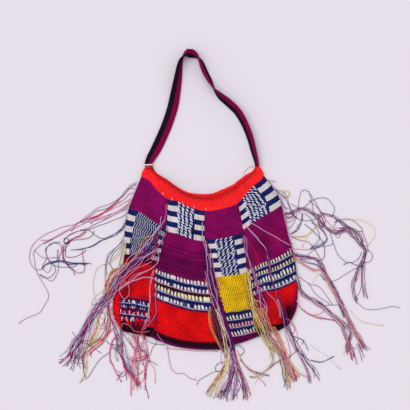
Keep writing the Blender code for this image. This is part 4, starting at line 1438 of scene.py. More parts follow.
        ("vpnghv", 8, 7, "164,-52 182,-59 198,-62 214,-66 226,-78 242,-104 254,-130 266,-158 "
         "282,-190 298,-218 316,-248"),
        ("sish", 5, 5, "166,-60 182,-70 196,-80 210,-86 224,-86 236,-106 252,-134 264,-154 "
         "282,-186 296,-216 310,-246"),
        ("n", 2, 2.4, "182,-64 200,-72 218,-78 230,-90"),
        ("ngcvh", 6, 5, "172,-94 180,-114 184,-128 196,-140 210,-146 224,-154 236,-164 250,-176 "
         "266,-188 282,-208 282,-222 276,-238 276,-260"),
        ("nwin", 6, 5, "174,-98 186,-134 206,-148 234,-168 262,-192 272,-212 286,-242 294,-270"),
        ("p", 1, 0, "176,-98 202,-114 218,-118 232,-132 242,-148 248,-158"),
        ("n", 1, 0, "198,-112 212,-132 222,-142 236,-150 242,-158"),
        ("rip", 3, 2.4, "172,-142 184,-162 198,-174 214,-180 232,-184 252,-188 264,-194 "
         "274,-222 282,-246 290,-266"),
        ("i", 1, 0, "202,-176 218,-176 230,-170 236,-162"),
        ("n", 1, 0, "224,-158 242,-157 258,-156"),
        ("ng", 3, 3, "222,-94 232,-106 242,-112 254,-138 262,-158 274,-186"),
        ("c", 1, 0, "208,-112 214,-100 218,-96 224,-96"),
        ("r", 2, 2.4, "280,-234 286,-262 288,-268"),
        ("i", 1, 0, "286,-236 292,-258 298,-276"),
        ("v", 1, 0, "296,-234 302,-250 308,-270"),
        ("p", 1, 0, "298,-234 306,-250 312,-262"),
        ("n", 1, 0, "298,-222 308,-238 318,-249"),
        ("p", 1, 0, "294,-222 310,-236 324,-246"),
        ("r", 1, 0, "274,-228 282,-242 296,-244"),
        ("W", 1, 0, "202,-236 232,-256 264,-286"),
    ),
}

# Yarns that lie over the others of their hank
PALE_THREADS = "whicgsy"

# ---------------------------------------------------------------------------------------------
# Yarn that waits to be laid


def unit_rows(rows: np.ndarray) -> np.ndarray:
    """Return rows scaled to a length of 1."""
    return rows / np.maximum(np.linalg.norm(rows, axis=1, keepdims=True), 1e-9)


def store(mesh: bpy.types.Mesh, name: str, kind: str, rows: np.ndarray) -> None:
    """Store rows as an attribute of a mesh's points.

    Args:
        mesh: The mesh.
        name: The attribute's name.
        kind: Its type.
        rows: One value, vector or colour for each point.
    """
    field_name = {"FLOAT": "value", "FLOAT_VECTOR": "vector", "FLOAT_COLOR": "color"}[kind]
    if kind == "FLOAT_COLOR":
        rows = np.column_stack((np.clip(rows, 0.0, 4.0), np.ones(len(rows))))
    attribute = mesh.attributes.new(name, kind, "POINT")
    attribute.data.foreach_set(field_name, rows.astype(np.float32).ravel())


class Loops:
    """Bars of yarn that wait to be laid."""

    def __init__(self) -> None:
        """Start with none."""
        self.rows: dict[str, list[np.ndarray]] = {
            key: [] for key in ("spot", "run", "up", "size", "tint")
        }

    def add(self, **values: np.ndarray) -> None:
        """Add bars.

        Args:
            values: spot, run, up, size in millimetres and tint, one row for each bar.
        """
        for key, rows in self.rows.items():
            rows.append(np.asarray(values[key], float))

    def cross(
        self, cell: "Cells", tint: np.ndarray, thick: float, rise: float, spread: float = 0.36,
        wide: float = 0.54,
    ) -> None:
        """Add two crossing bars in every cell, the second one on top.

        Args:
            cell: The cells.
            tint: Their colours.
            thick: A bar's height in millimetres.
            rise: How far the upper bar's middle stands off the face.
            spread: How far the bars lean, as a share of the cell's width. Its sign sets which
                one is on top.
            wide: A bar's width as a share of the cell's.
        """
        # The lower bar is painted at 0.9 of its colour, as painted shade under the upper one.
        for sign, lift, shade in ((-1.0, -0.35, 0.9), (1.0, 0.0, 1.0)):
            run = cell.below + sign * 2.0 * spread * cell.across
            long = 1.12 * np.linalg.norm(run, axis=1)
            width = wide * np.linalg.norm(cell.across, axis=1)
            self.add(
                spot=cell.spot + cell.up * (rise + lift), run=run, up=cell.up,
                size=np.column_stack((width, long, np.full(len(width), thick))),
                tint=tint * shade,
            )

    def bar(
        self, cell: "Cells", tint: np.ndarray, lean: np.ndarray | float, width: float,
        length: float, thick: float, rise: float, offset: float = 0.0,
    ) -> None:
        """Add one bar in every cell, turned from the fall towards the side.

        Args:
            cell: The cells.
            tint: Their colours.
            lean: How far each bar turns, in radians.
            width: Its width as a share of the cell's size across it.
            length: Its length as a share of the cell's size along it.
            thick: Its height in millimetres.
            rise: How far its middle stands off the face.
            offset: How far down the cell its middle lies, as a share.
        """
        side, fall = unit_rows(cell.across), unit_rows(cell.below)
        wide = np.linalg.norm(cell.across, axis=1)
        tall = np.linalg.norm(cell.below, axis=1)
        lean = np.broadcast_to(lean, len(wide))
        turn_cos, turn_sin = np.cos(lean), np.sin(lean)
        self.add(
            spot=cell.spot + cell.up * rise + cell.below * offset,
            run=fall * turn_cos[:, None] + side * turn_sin[:, None], up=cell.up,
            size=np.column_stack((
                width * (wide * abs(turn_cos) + tall * abs(turn_sin)),
                length * (tall * abs(turn_cos) + wide * abs(turn_sin)), np.full(len(wide), thick),
            )),
            tint=tint,
        )

    def mesh(self, name: str) -> bpy.types.Mesh:
        """Make the bars as loose points that carry their attributes.

        Args:
            name: The mesh's name.

        Returns:
            The mesh of points.
        """
        data = {key: np.vstack(rows) for key, rows in self.rows.items()}
        mesh = bpy.data.meshes.new(name)
        mesh.vertices.add(len(data["spot"]))
        mesh.vertices.foreach_set("co", (data["spot"] * MM).astype(np.float32).ravel())
        for key, scale in (("run", 1.0), ("up", 1.0), ("size", MM)):
            store(mesh, key, "FLOAT_VECTOR", data[key] * scale)
        store(mesh, "tint", "FLOAT_COLOR", data["tint"])
        mesh.update()
        return mesh


@dataclass
class Cells:
    """Cells of a face: their middles, the steps across and below, and the way out of the face."""

    spot: np.ndarray
    across: np.ndarray
    below: np.ndarray
    up: np.ndarray

    @classmethod
    def of(
        cls, point: Callable[[np.ndarray, np.ndarray], np.ndarray], u: np.ndarray, v: np.ndarray,
        half_u: float, half_v: float, outside: np.ndarray,
    ) -> "Cells":
        """Measure cells round places of a mapped face.

        Args:
            point: Maps places across and down to points.
            u: The places across.
            v: The places down.
            half_u: Half a cell's size across.
            half_v: Half a cell's size down.
            outside: A direction that the way out of the face has to agree with.

        Returns:
            The cells.
        """
        across = point(u + half_u, v) - point(u - half_u, v)
        below = point(u, v + half_v) - point(u, v - half_v)
        up = unit_rows(np.cross(below, across))
        up *= np.where((up * outside).sum(axis=1) < 0, -1.0, 1.0)[:, None]
        return cls(point(u, v), across, below, up)

    def some(self, keep: np.ndarray) -> "Cells":
        """Return the cells of a mask."""
        return Cells(self.spot[keep], self.across[keep], self.below[keep], self.up[keep])


class Chains:
    """Lines of yarn that wait to be spun into tubes."""

    def __init__(self) -> None:
        """Start with none."""
        self.points: list[np.ndarray] = []
        self.girths: list[np.ndarray] = []
        self.tints: list[np.ndarray] = []
        self.pairs: list[np.ndarray] = []
        self.count = 0

    def add(
        self, points: np.ndarray, girth: np.ndarray | float, tint: np.ndarray,
        closed: bool = False,
    ) -> None:
        """Add a line.

        Args:
            points: Its points in millimetres.
            girth: The yarn's radius, one for all points or one each.
            tint: Its linear colour, one for all points or one each.
            closed: Whether its end is joined to its start.
        """
        size = len(points)
        index = np.arange(self.count, self.count + size)
        following = np.roll(index, -1)
        self.pairs.append(np.column_stack((index, following))[: size if closed else size - 1])
        self.points.append(points)
        self.girths.append(np.broadcast_to(girth, size))
        self.tints.append(np.broadcast_to(tint, (size, 3)))
        self.count += size

    def mesh(self, name: str) -> bpy.types.Mesh:
        """Make the lines as a mesh of edges that carry their attributes.

        Args:
            name: The mesh's name.

        Returns:
            The mesh of edges.
        """
        mesh = bpy.data.meshes.new(name)
        points = np.vstack(self.points) * MM
        mesh.from_pydata(points.tolist(), np.vstack(self.pairs).tolist(), [])
        store(mesh, "girth", "FLOAT", np.concatenate(self.girths) * MM)
        store(mesh, "tint", "FLOAT_COLOR", np.vstack(self.tints))
        return mesh


@dataclass
class Workshop:
    """The trees and finishes that every piece shares."""

    loops: LoopTree = field(default_factory=LoopTree)
    yarns: YarnTree = field(default_factory=YarnTree)
    random: np.random.Generator = field(default_factory=lambda: np.random.default_rng(SEED))

    def __post_init__(self) -> None:
        """Make the finishes."""
        self.looped = YarnFinish("looped_yarn", twist=26.0, width=0.5).make()
        self.spun = YarnFinish("loose_yarn", twist=2300.0, width=1.0, bump=0.35).make()
        self.ground = GroundFinish("ground_yarn").make()
        self.shell = ShellFinish("pale_shell").make()

    def lay(
        self, name: str, loops: Loops, sides: int = 5, spans: int = 4, sway: float = 0.07
    ) -> bpy.types.Object:
        """Lay waiting bars as one piece.

        Args:
            name: The piece's name.
            loops: The bars.
            sides: How many sides a bar has.
            spans: How many spans it has along its length.
            sway: How far a bar may turn by chance, in radians.

        Returns:
            The piece.
        """
        values = {
            "Sides": sides, "Spans": spans, "End Girth": 0.55, "Sway": sway,
            "Seed": SEED, "Finish": self.looped,
        }
        return self.placed(grown(name, loops.mesh(name), self.loops, values))

    def spin(self, name: str, chains: Chains, sides: int = 5) -> bpy.types.Object:
        """Spin waiting lines as one piece."""
        values = {"Sides": sides, "Finish": self.spun}
        return self.placed(grown(name, chains.mesh(name), self.yarns, values))

    @staticmethod
    def placed(piece: bpy.types.Object) -> bpy.types.Object:
        """Put a piece on the bag's body and return it."""
        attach(piece, BODY)
        return piece

    def mottled(self, tint: np.ndarray) -> np.ndarray:
        """Return tints that vary a little from one to the next."""
        return tint * self.random.normal(1.0, 0.05, (len(tint), 1))


def letters_of(unit: str, places: np.ndarray) -> np.ndarray:
    """Return the colours of places in a repeated unit."""
    return np.array([TINTS[unit[int(place) % len(unit)]] for place in places])


def plain_rows(letter: str, count: int, shade: float = 1.0) -> np.ndarray:
    """Return rows of one colour, lighter or darker than the yarn."""
    return np.tile(TINTS[letter] * shade, (count, 1))


def side_name(back: bool, what: str) -> str:
    """Return the name of something in the back or the front layer."""
    return f"{'back' if back else 'front'}_{what}"


def spaced(length: float, step: float) -> np.ndarray:
    """Return the shares of a length at which stitches of about a size have their middles."""
    count = int(length / step)
    return (np.arange(count) + 0.5) / count


# ---------------------------------------------------------------------------------------------
# Pieces


@dataclass
class GoreCloth:
    """One gore as looped cloth: its ground and the stitches charted over it."""

    STATIONS: ClassVar[int] = 41

    gore: Gore
    bands: tuple[Band, ...]
    shop: Workshop

    def __post_init__(self) -> None:
        """Find the shares down both seams at which each band ends."""
        self.back = self.gore.back
        self.name = side_name(self.back, f"gore_{self.gore.index + 1}")
        ends = [(0.0, 0.0)]
        for band in self.bands:
            ends.append((
                self.gore.left.share_at_y(band.left_y), self.gore.right.share_at_y(band.right_y)
            ))
        self.ends = np.array(ends)

    def point(self, along: np.ndarray, place: np.ndarray) -> np.ndarray:
        """Read the outer face.

        Args:
            along: Shares across the gore.
            place: Places down it, counted in bands.

        Returns:
            The points.
        """
        along, place = np.broadcast_arrays(np.clip(along, 0.0, 1.0), place)
        left = np.interp(place, np.arange(len(self.ends)), self.ends[:, 0])
        right = np.interp(place, np.arange(len(self.ends)), self.ends[:, 1])
        return self.gore.surface(along, left + (right - left) * along)

    @staticmethod
    def panel_edges(band: Band, share: float, level: float) -> np.ndarray:
        """Return the shares across at which the panels of a band start and end.

        Args:
            band: The band.
            share: The share down it.
            level: The share down it whose step of the ragged edges holds.

        Returns:
            The shares across.
        """
        widths = [panel.top + (panel.foot - panel.top) * share for panel in band.panels]
        edges = np.concatenate(([0.0], np.cumsum(widths) / sum(widths)))
        step = math.floor(min(level, 0.999) * len(band.panels[0].courses))
        ragged = RAGGED if len(widths) > 2 else 0.2 * RAGGED
        edges[1:-1] += ragged * np.sin(2.3 * step + 1.7 * np.arange(len(widths) - 1))
        return edges

    @staticmethod
    def wave(panel: Panel, share: float) -> float:
        """Return how far a panel's columns sway at a share down it, in columns."""
        phase = share * panel.waves
        return panel.sway * (4.0 * abs(phase - math.floor(phase) - 0.5) - 1.0)

    def lookup(self, along: float, place: float) -> np.ndarray:
        """Look up the chart's colour.

        Args:
            along: The share across the gore.
            place: The place down it, counted in bands.

        Returns:
            The linear colour.
        """
        index = min(int(place), len(self.bands) - 1)
        band, share = self.bands[index], place - index
        edges = self.panel_edges(band, share, share)
        number = min(int(np.searchsorted(edges, along, side="right")) - 1, len(band.panels) - 1)
        panel = band.panels[number]
        heights = np.cumsum([course.height for course in panel.courses])
        row = min(int(np.searchsorted(heights, share * heights[-1])), len(panel.courses) - 1)
        course = panel.courses[row]
        if course.style in (Style.ROPE, Style.LINE):
            return TINTS["N"]
        inside = (along - edges[number]) / (edges[number + 1] - edges[number])
        inside = inside * (course.columns or panel.columns) - self.wave(panel, share)
        return TINTS[course.unit[int(math.floor(inside)) % len(course.unit)]]

    def blotched(self, tint: np.ndarray, spot: np.ndarray, seen: bool = False) -> np.ndarray:
        """Add a slow mottling and the blotches, one of them painted fold shade, except on pale
        yarn or on the unseen back.

        Args:
            tint: The colours.
            spot: Where they are.
            seen: Whether they show although they are in the back layer.

        Returns:
            The blotched colours.
        """
        if self.back and not seen:
            return tint
        pale = tint.min(axis=1) > PALE_LIMIT
        wash = np.sin(spot[:, 0] / 9.0 + 1.7 * np.sin(spot[:, 1] / 17.0))
        wash *= np.sin(spot[:, 1] / 11.0 + spot[:, 0] / 31.0)
        tint = tint * (1.0 + np.where(pale, 0.05, 0.16) * wash)[:, None]
        for x, y, degrees, length, width, letter, strength in BLOTCHES:
            along, aside = turned(spot, x, y, degrees)
            reach = (along / (0.5 * length)) ** 2 + (aside / width) ** 2
            share = np.where(pale, 0.0, strength * np.exp(-(reach**1.4)))[:, None]
            tint = tint * (1 - share) + TINTS[letter] * share
        return tint

    def past_front(self, spot: np.ndarray) -> np.ndarray:
        """Return which places of the back layer lie outside the front layer."""
        seam = Gore(0).left.samples
        edge = np.interp(-spot[:, 1], -seam[:, 1], seam[:, 0])
        return (spot[:, 0] < edge + 4.0) & (spot[:, 1] < -40.0)

    def stitches(self) -> bpy.types.Object:
        """Lay the charted stitches.

        Returns:
            The piece.
        """
        loops = Loops()
        for index, band in enumerate(self.bands):
            for number, panel in enumerate(band.panels):
                total = sum(course.height for course in panel.courses)
                reach = 0.0
                for row, course in enumerate(panel.courses):
                    half = 0.5 * course.height / total
                    self.lay_course(loops, (index, number), course, row, reach + half, half)
                    reach += 2.0 * half
        return self.shop.lay(
            self.name + "_stitches", loops, sides=4, spans=2 if self.back else 3
        )

    def lay_course(
        self, loops: Loops, where: tuple[int, int], course: Course, row: int, share: float,
        half: float,
    ) -> None:
        """Lay one course of stitches.

        Args:
            loops: Where the bars go.
            where: The band's and the panel's number.
            course: The course.
            row: Its number in the panel.
            share: The share down the band of its middle.
            half: Half its height as a share of the band.
        """
        index, number = where
        band = self.bands[index]
        panel = band.panels[number]
        random = self.shop.random
        columns = course.columns or panel.columns
        step = np.arange(columns)

        def point(column: np.ndarray, down: np.ndarray) -> np.ndarray:
            """Read the face at columns, all at one share down the band.

            Args:
                column: Places across the panel, counted in columns.
                down: The share down the band, repeated.

            Returns:
                The points.
            """
            level = float(np.clip(down[0], 0.0, 1.0))
            edges = self.panel_edges(band, level, share)
            along = edges[number] + (edges[number + 1] - edges[number]) * column / columns
            return self.point(along, np.full(len(column), index + level))

        middle = step + 0.5 + self.wave(panel, share)
        if course.style is Style.LOOPS:
            middle = middle + 0.5 * (row % 2) - 0.25
        outside = -UP if self.back else UP
        cells = Cells.of(point, middle, np.full(columns, share), 0.5, half, outside)
        if course.style is Style.LOOPS and course.unit in "NW":
            bend = 0.45 * np.sin(0.9 * step + 0.6 * row + 2.0 * number)
            cells.spot += cells.below * bend[:, None]
        if course.style in (Style.ROPE, Style.TEETH) or panel.mess:
            shift = random.normal(0.0, 0.06 + 0.1 * panel.mess, (columns, 2))
            cells.spot += cells.across * shift[:, :1] + cells.below * shift[:, 1:]
        picked = random.integers(0, columns, columns)
        mixed = random.random(columns) < 0.35 * panel.mess
        tint = letters_of(course.unit, np.where(mixed, picked, step)) * random.normal(1.0, 0.035)
        tint = self.blotched(self.shop.mottled(tint), cells.spot)
        rise = BACK_STITCH_RISE if self.back else STITCH_RISE
        self.lay_cells(loops, course, cells, tint, rise, panel, share)
        if self.back:
            self.lay_inner_face(loops, course, cells, panel, share)

    def lay_inner_face(
        self, loops: Loops, course: Course, cells: Cells, panel: Panel, share: float
    ) -> None:
        """Lay red stitches on the back layer's inner face where the front layer leaves it bare.

        Args:
            loops: Where the bars go.
            course: The course.
            cells: Its cells on the outer face.
            panel: The panel that the course is in.
            share: The share down the band of its middle.
        """
        keep = self.past_front(cells.spot)
        if not keep.any():
            return
        inner = cells.some(keep)
        inner.spot[:, 2] = INNER_FACE
        inner.up = -inner.up
        red = self.shop.mottled(plain_rows("R", len(inner.spot)))
        red = self.blotched(red, inner.spot, True)
        self.lay_cells(loops, course, inner, red, 0.0, panel, share)

    def lay_cells(
        self, loops: Loops, course: Course, cells: Cells, tint: np.ndarray, rise: float,
        panel: Panel, share: float,
    ) -> None:
        """Lay one course's bars in its cells.

        Args:
            loops: Where the bars go.
            course: The course.
            cells: Its cells.
            tint: Their colours.
            rise: How far the bars stand off the face.
            panel: The panel that the course is in.
            share: The share down the band of its middle.
        """
        lean = self.shop.random.normal(0.0, 0.12 + 0.4 * panel.mess, len(tint))
        if course.style is Style.LOOPS:
            hand = 1.0 if round(1000 * share) % 2 else -1.0
            wide = 0.46 if course.unit in "RY" else 0.6
            loops.cross(cells, tint, thick=1.5, rise=rise - 0.1, spread=0.36 * hand, wide=wide)
        elif course.style is Style.RIB:
            for part in (-1, 0, 1):
                loops.bar(
                    cells, tint, lean=0.10, width=0.86, length=0.4, thick=1.3, rise=rise - 0.2,
                    offset=part / 3,
                )
        elif course.style is Style.ROPE and panel.lean:
            lean += panel.lean
            self.lay_rope(loops, cells, tint, lean, rise, panel.bulk)
        elif course.style is Style.ROPE:
            slope = self.wave(panel, share + 0.01) - self.wave(panel, share - 0.01)
            lean += math.copysign(0.38, slope)
            loops.bar(cells, tint, lean, width=0.40, length=1.08, thick=1.6, rise=rise - 0.1)
        elif course.style is Style.TEETH:
            pale = tint.min(axis=1) > PALE_LIMIT
            for keep, width, length in ((pale, panel.bulk, 0.98), (~pale, 0.5, 1.04)):
                loops.bar(
                    cells.some(keep), tint[keep], 0.14 + lean[keep], width, length, thick=1.8,
                    rise=rise,
                )
        else:
            loops.bar(
                cells, tint, 1.47 + 0.3 * lean, width=1.0, length=1.15, thick=1.0,
                rise=rise + 0.45,
            )

    def lay_rope(
        self, loops: Loops, cells: Cells, tint: np.ndarray, lean: np.ndarray, rise: float,
        bulk: float,
    ) -> None:
        """Lay pale dashes over a dark core, with a thin bridge to the next cord here and there.

        Args:
            loops: Where the bars go.
            cells: The course's cells.
            tint: Their colours.
            lean: How far the pale yarn leans in each, in radians.
            rise: How far the bars stand off the face.
            bulk: The pale yarn's width as a share of a cord.
        """
        pale = tint.min(axis=1) > PALE_LIMIT
        link = ~pale & (self.shop.random.random(len(tint)) < 0.1)
        loops.bar(
            cells.some(link), plain_rows("F", int(link.sum())), -lean[link], width=0.3,
            length=0.9, thick=1.5, rise=rise + 0.1,
        )
        loops.bar(
            cells.some(~pale), tint[~pale], lean=0.0, width=0.8, length=1.04, thick=1.3,
            rise=rise - 0.3,
        )
        loops.bar(
            cells.some(pale), tint[pale], lean[pale], bulk, length=0.96, thick=1.8, rise=rise
        )

    def cloth(self) -> bpy.types.Object:
        """Make the ground cloth as a closed sheet.

        Returns:
            The piece.
        """
        columns, rows = BACK_GRID if self.back else FRONT_GRID
        places = np.linspace(0.0, len(self.bands), rows + 1)
        places[-1] -= 1e-6
        grid_place, grid_share = np.meshgrid(
            places, np.linspace(0.0, 1.0, columns + 1), indexing="ij"
        )
        grid_place, grid_share = grid_place.ravel(), grid_share.ravel()
        top, below = ground_faces(self.point(grid_share, grid_place), self.back)
        tint = np.array([self.lookup(*pair) for pair in zip(grid_share, grid_place)])
        if self.back:
            tint[self.past_front(top)] = TINTS["R"]
        # Painted shade: the ground is painted at 0.6 of its yarn's colour, and at 0.34 under red
        # and yellow, so the gaps between the stitches read as shade.
        bright = (tint == TINTS["R"]).all(axis=1) | (tint == TINTS["Y"]).all(axis=1)
        tint = self.blotched(tint * np.where(bright, 0.34, 0.6)[:, None], top)
        return closed_sheet(
            self.name + "_cloth", (columns, rows), top, below, tint, self.shop.ground, self.back
        )

    def flat(self) -> tuple[tuple[float, float], float]:
        """Measure the cut.

        Returns:
            Its width and length, and its area, in metres.
        """
        shares = np.linspace(0.0, 1.0, self.STATIONS)
        across = self.gore.left.at(shares) - self.gore.right.at(shares)
        width = float(np.linalg.norm(across, axis=1).max())
        length = max(self.gore.left.length, self.gore.right.length)
        u, v = np.meshgrid(shares, shares, indexing="ij")
        grid = self.gore.surface(u.ravel(), v.ravel()).reshape(*u.shape, 3)
        box = width * length * MM * MM
        return (width * MM, length * MM), min(grid_area(grid) * MM * MM, box)


def ground_faces(face: np.ndarray, back: bool) -> tuple[np.ndarray, np.ndarray]:
    """Sink a ground cloth under the stitches that lie on its face.

    Args:
        face: Points of the layer's outer face.
        back: Whether it is the back layer, whose outer face looks down.

    Returns:
        Points of the cloth's outer and inner faces.
    """
    top = face.copy()
    top[:, 2] += BACK_GROUND_DEPTH if back else -GROUND_DEPTH
    below = top.copy()
    below[:, 2] += GROUND_THICKNESS if back else -GROUND_THICKNESS
    return top, below


def grid_area(grid: np.ndarray) -> float:
    """Return the area of a surface from a grid of its points."""
    sides = grid[1:, :-1] - grid[:-1, :-1], grid[:-1, 1:] - grid[:-1, :-1]
    return float(np.linalg.norm(np.cross(*sides), axis=-1).sum())


def closed_sheet(
    name: str, shape: tuple[int, int], top: np.ndarray, below: np.ndarray, tint: np.ndarray,
    finish: bpy.types.Material, flip: bool = False,
) -> bpy.types.Object:
    """Make a thin closed sheet from the grids of its two faces.

    Args:
        name: The piece's name.
        shape: Columns and rows of cells.
        top: Points of the outer face in millimetres, row by row.
        below: Points of the inner face.
        tint: The linear colour at each point of a face.
        finish: The material.
        flip: Whether the faces have to be turned round.

    Returns:
        The piece.
    """
    columns, rows = shape
    count = (columns + 1) * (rows + 1)
    index = np.arange(count).reshape(rows + 1, columns + 1)
    a, b, c, d = index[:-1, :-1], index[:-1, 1:], index[1:, 1:], index[1:, :-1]
    outer = np.stack((a, d, c, b), axis=-1).reshape(-1, 4)
    inner = np.stack((a, b, c, d), axis=-1).reshape(-1, 4) + count
    ring = np.concatenate((index[0, :-1], index[:-1, -1], index[-1, :0:-1], index[:0:-1, 0]))
    following = np.roll(ring, -1)
    wall = np.stack((ring, following, following + count, ring + count), axis=-1)
    faces = np.vstack((outer, inner, wall))
    if flip:
        faces = faces[:, ::-1]
    mesh = bpy.data.meshes.new(name)
    mesh.from_pydata((np.vstack((top, below)) * MM).tolist(), [], faces.tolist())
    store(mesh, "tint", "FLOAT_COLOR", np.vstack((tint, tint)))
    mesh.shade_smooth()
    mesh.materials.append(finish)
    return Workshop.placed(added(name, mesh))


@dataclass
class Rim:
    """One side of the mouth's rim: a band of chunky red loops with a rolled edge."""

    STATIONS: ClassVar[int] = 121
    # Heights of the back rim's stitches where they look down and where they look up
    ROW_LEVELS: ClassVar[tuple[float, float]] = (1.1, CLOTH - 0.4)
    LIP_LEVELS: ClassVar[tuple[float, float]] = (1.2, INNER_FACE)
    # Where the pale ticks are, counted in rim stations
    TICKS: ClassVar[tuple[float, ...]] = (3.5, 4.33, 5.33, 6.27, 7.07)

    shop: Workshop
    back: bool
    columns: int = 66
    rows: int = 5
    lip_bars: int = 78

    @property
    def last(self) -> int:
        """Return the last rim station."""
        return len(RIM) - 1

    def point(self, place: np.ndarray, share: np.ndarray) -> np.ndarray:
        """Read the outer face.

        Args:
            place: Places along the mouth, counted in rim stations.
            share: Shares down the band.

        Returns:
            The points.
        """
        place = np.clip(place, 0.0, self.last)
        top, low = rim_edges(place, self.back)
        share = np.broadcast_to(share, place.shape)
        plan = top + (low - top) * share[:, None]
        height = np.zeros(len(place))
        if not self.back:
            across = np.interp(place, SEAM_STATIONS, (0.0, 0.25, 0.5, 0.75, 1.0))
            height = 2 * CLOTH + LAYER_GAP + INNER_HEIGHT * swell(across, np.zeros(len(place)))
        return np.column_stack((plan, height))

    def cloth(self) -> bpy.types.Object:
        """Make the ground cloth.

        Returns:
            The piece.
        """
        columns, rows = RIM_GRID
        v, u = np.meshgrid(
            np.linspace(0.0, 1.0, rows + 1), np.linspace(0.0, self.last, columns + 1),
            indexing="ij",
        )
        top, below = ground_faces(self.point(u.ravel(), v.ravel()), self.back)
        # Painted shade: the ground is painted at 0.7 of the rim's red so the gaps between its
        # loops read as shade.
        return closed_sheet(
            side_name(self.back, "rim_cloth"), (columns, rows), top, below,
            plain_rows("X", len(top), 0.7), self.shop.ground, self.back,
        )

    def cells(
        self, place: np.ndarray, share: float, half_span: float, half: float, facing: float
    ) -> Cells:
        """Measure a row of cells along the band.

        Args:
            place: Their middles, counted in rim stations.
            share: The share down the band of their middles.
            half_span: Half a cell's size along the band, in stations.
            half: Half its size down, as a share of the band.
            facing: 1 for the face that looks up and -1 for the one that looks down.

        Returns:
            The cells.
        """
        shares = np.full(len(place), share)
        return Cells.of(self.point, place, shares, half_span, half, UP * facing)

    def stitches(self) -> bpy.types.Object:
        """Lay the loops, the rolled edge and the pale ticks.

        Returns:
            The piece.
        """
        loops = Loops()
        for facing in (-1.0, 1.0) if self.back else (1.0,):
            for row in range(self.rows):
                self.lay_row(loops, facing, row)
            self.lay_lip(loops, facing)
        if not self.back:
            self.lay_ticks(loops)
        name = side_name(self.back, "rim_stitches")
        return self.shop.lay(name, loops, sides=4 if self.back else 5, spans=3, sway=0.16)

    def lay_row(self, loops: Loops, facing: float, row: int) -> None:
        """Lay one row of crossing loops.

        Args:
            loops: Where the bars go.
            facing: 1 for the face that looks up and -1 for the one that looks down.
            row: Its number.
        """
        columns = self.columns
        share = (row + 0.5) / self.rows
        span = self.last / columns
        place = (np.arange(columns) + 0.25 + 0.5 * (row % 2)) * span
        cells = self.cells(place, share, 0.5 * span, 0.5 / self.rows, facing)
        # Painted light and shade: the back rim's rows are painted a little brighter than their
        # yarn, and the front rows darker towards the rolled edge and a little brighter further
        # down.
        if self.back:
            cells.spot[:, 2] = self.ROW_LEVELS[int(facing > 0)]
            shade, lift, thick = 1.05, 0.0, 1.3
        else:
            shade = float(np.interp(share, (0.0, 0.2, 1.0), (0.86, 1.0, 1.06)))
            lift, thick = 0.5 * math.sin(math.pi * (0.2 + 0.7 * share)), 2.2
        tint = self.shop.mottled(plain_rows("X", columns, shade))
        tint = tint * self.shop.random.normal(1.0, 0.04, (columns, 1))
        loops.cross(cells, tint, thick, lift, spread=0.42, wide=0.66)

    def lay_lip(self, loops: Loops, facing: float) -> None:
        """Lay the leaning bars of the rolled edge; the front one is painted at half brightness as
        the shadow line between the front and the back rim.

        Args:
            loops: Where the bars go.
            facing: 1 for the face that looks up and -1 for the one that looks down.
        """
        span = self.last / self.lip_bars
        place = (np.arange(self.lip_bars) + 0.5) * span
        cells = self.cells(place, 0.03, 0.5 * span, 0.09, facing)
        # Painted shadow: the front rolled edge is painted dark as the line of shade between it and
        # the back rim.
        shade, thick = 0.5, 2.4
        if self.back:
            cells.spot[:, 2] = self.LIP_LEVELS[int(facing > 0)]
            shade, thick = 0.95, 1.5
        tint = self.shop.mottled(plain_rows("X", self.lip_bars, shade))
        loops.bar(cells, tint, lean=0.75, width=0.95, length=1.35, thick=thick, rise=0.1)

    def lay_ticks(self, loops: Loops) -> None:
        """Lay the pale ticks by the rim's lower edge.

        Args:
            loops: Where the bars go.
        """
        count = len(self.TICKS)
        cells = self.cells(np.array(self.TICKS), 0.87, 0.06, 0.09, 1.0)
        tint = plain_rows("I", count) * self.shop.random.normal(1.0, 0.08, (count, 1))
        loops.bar(cells, tint, lean=0.4, width=0.4, length=0.8, thick=1.4, rise=1.7)

    def flat(self) -> tuple[tuple[float, float], float]:
        """Measure the band.

        Returns:
            Its width and length, and its area, in metres.
        """
        shares = np.linspace(0.0, 1.0, self.STATIONS)
        u, v = np.meshgrid(shares, shares, indexing="ij")
        grid = self.point(u.ravel() * self.last, v.ravel()).reshape(*u.shape, 3)
        width = float(np.linalg.norm(grid[:, 0] - grid[:, -1], axis=1).max())
        middle = grid[:, self.STATIONS // 2]
        length = float(np.linalg.norm(np.diff(middle, axis=0), axis=1).sum())
        return (width * MM, length * MM), grid_area(grid) * MM * MM


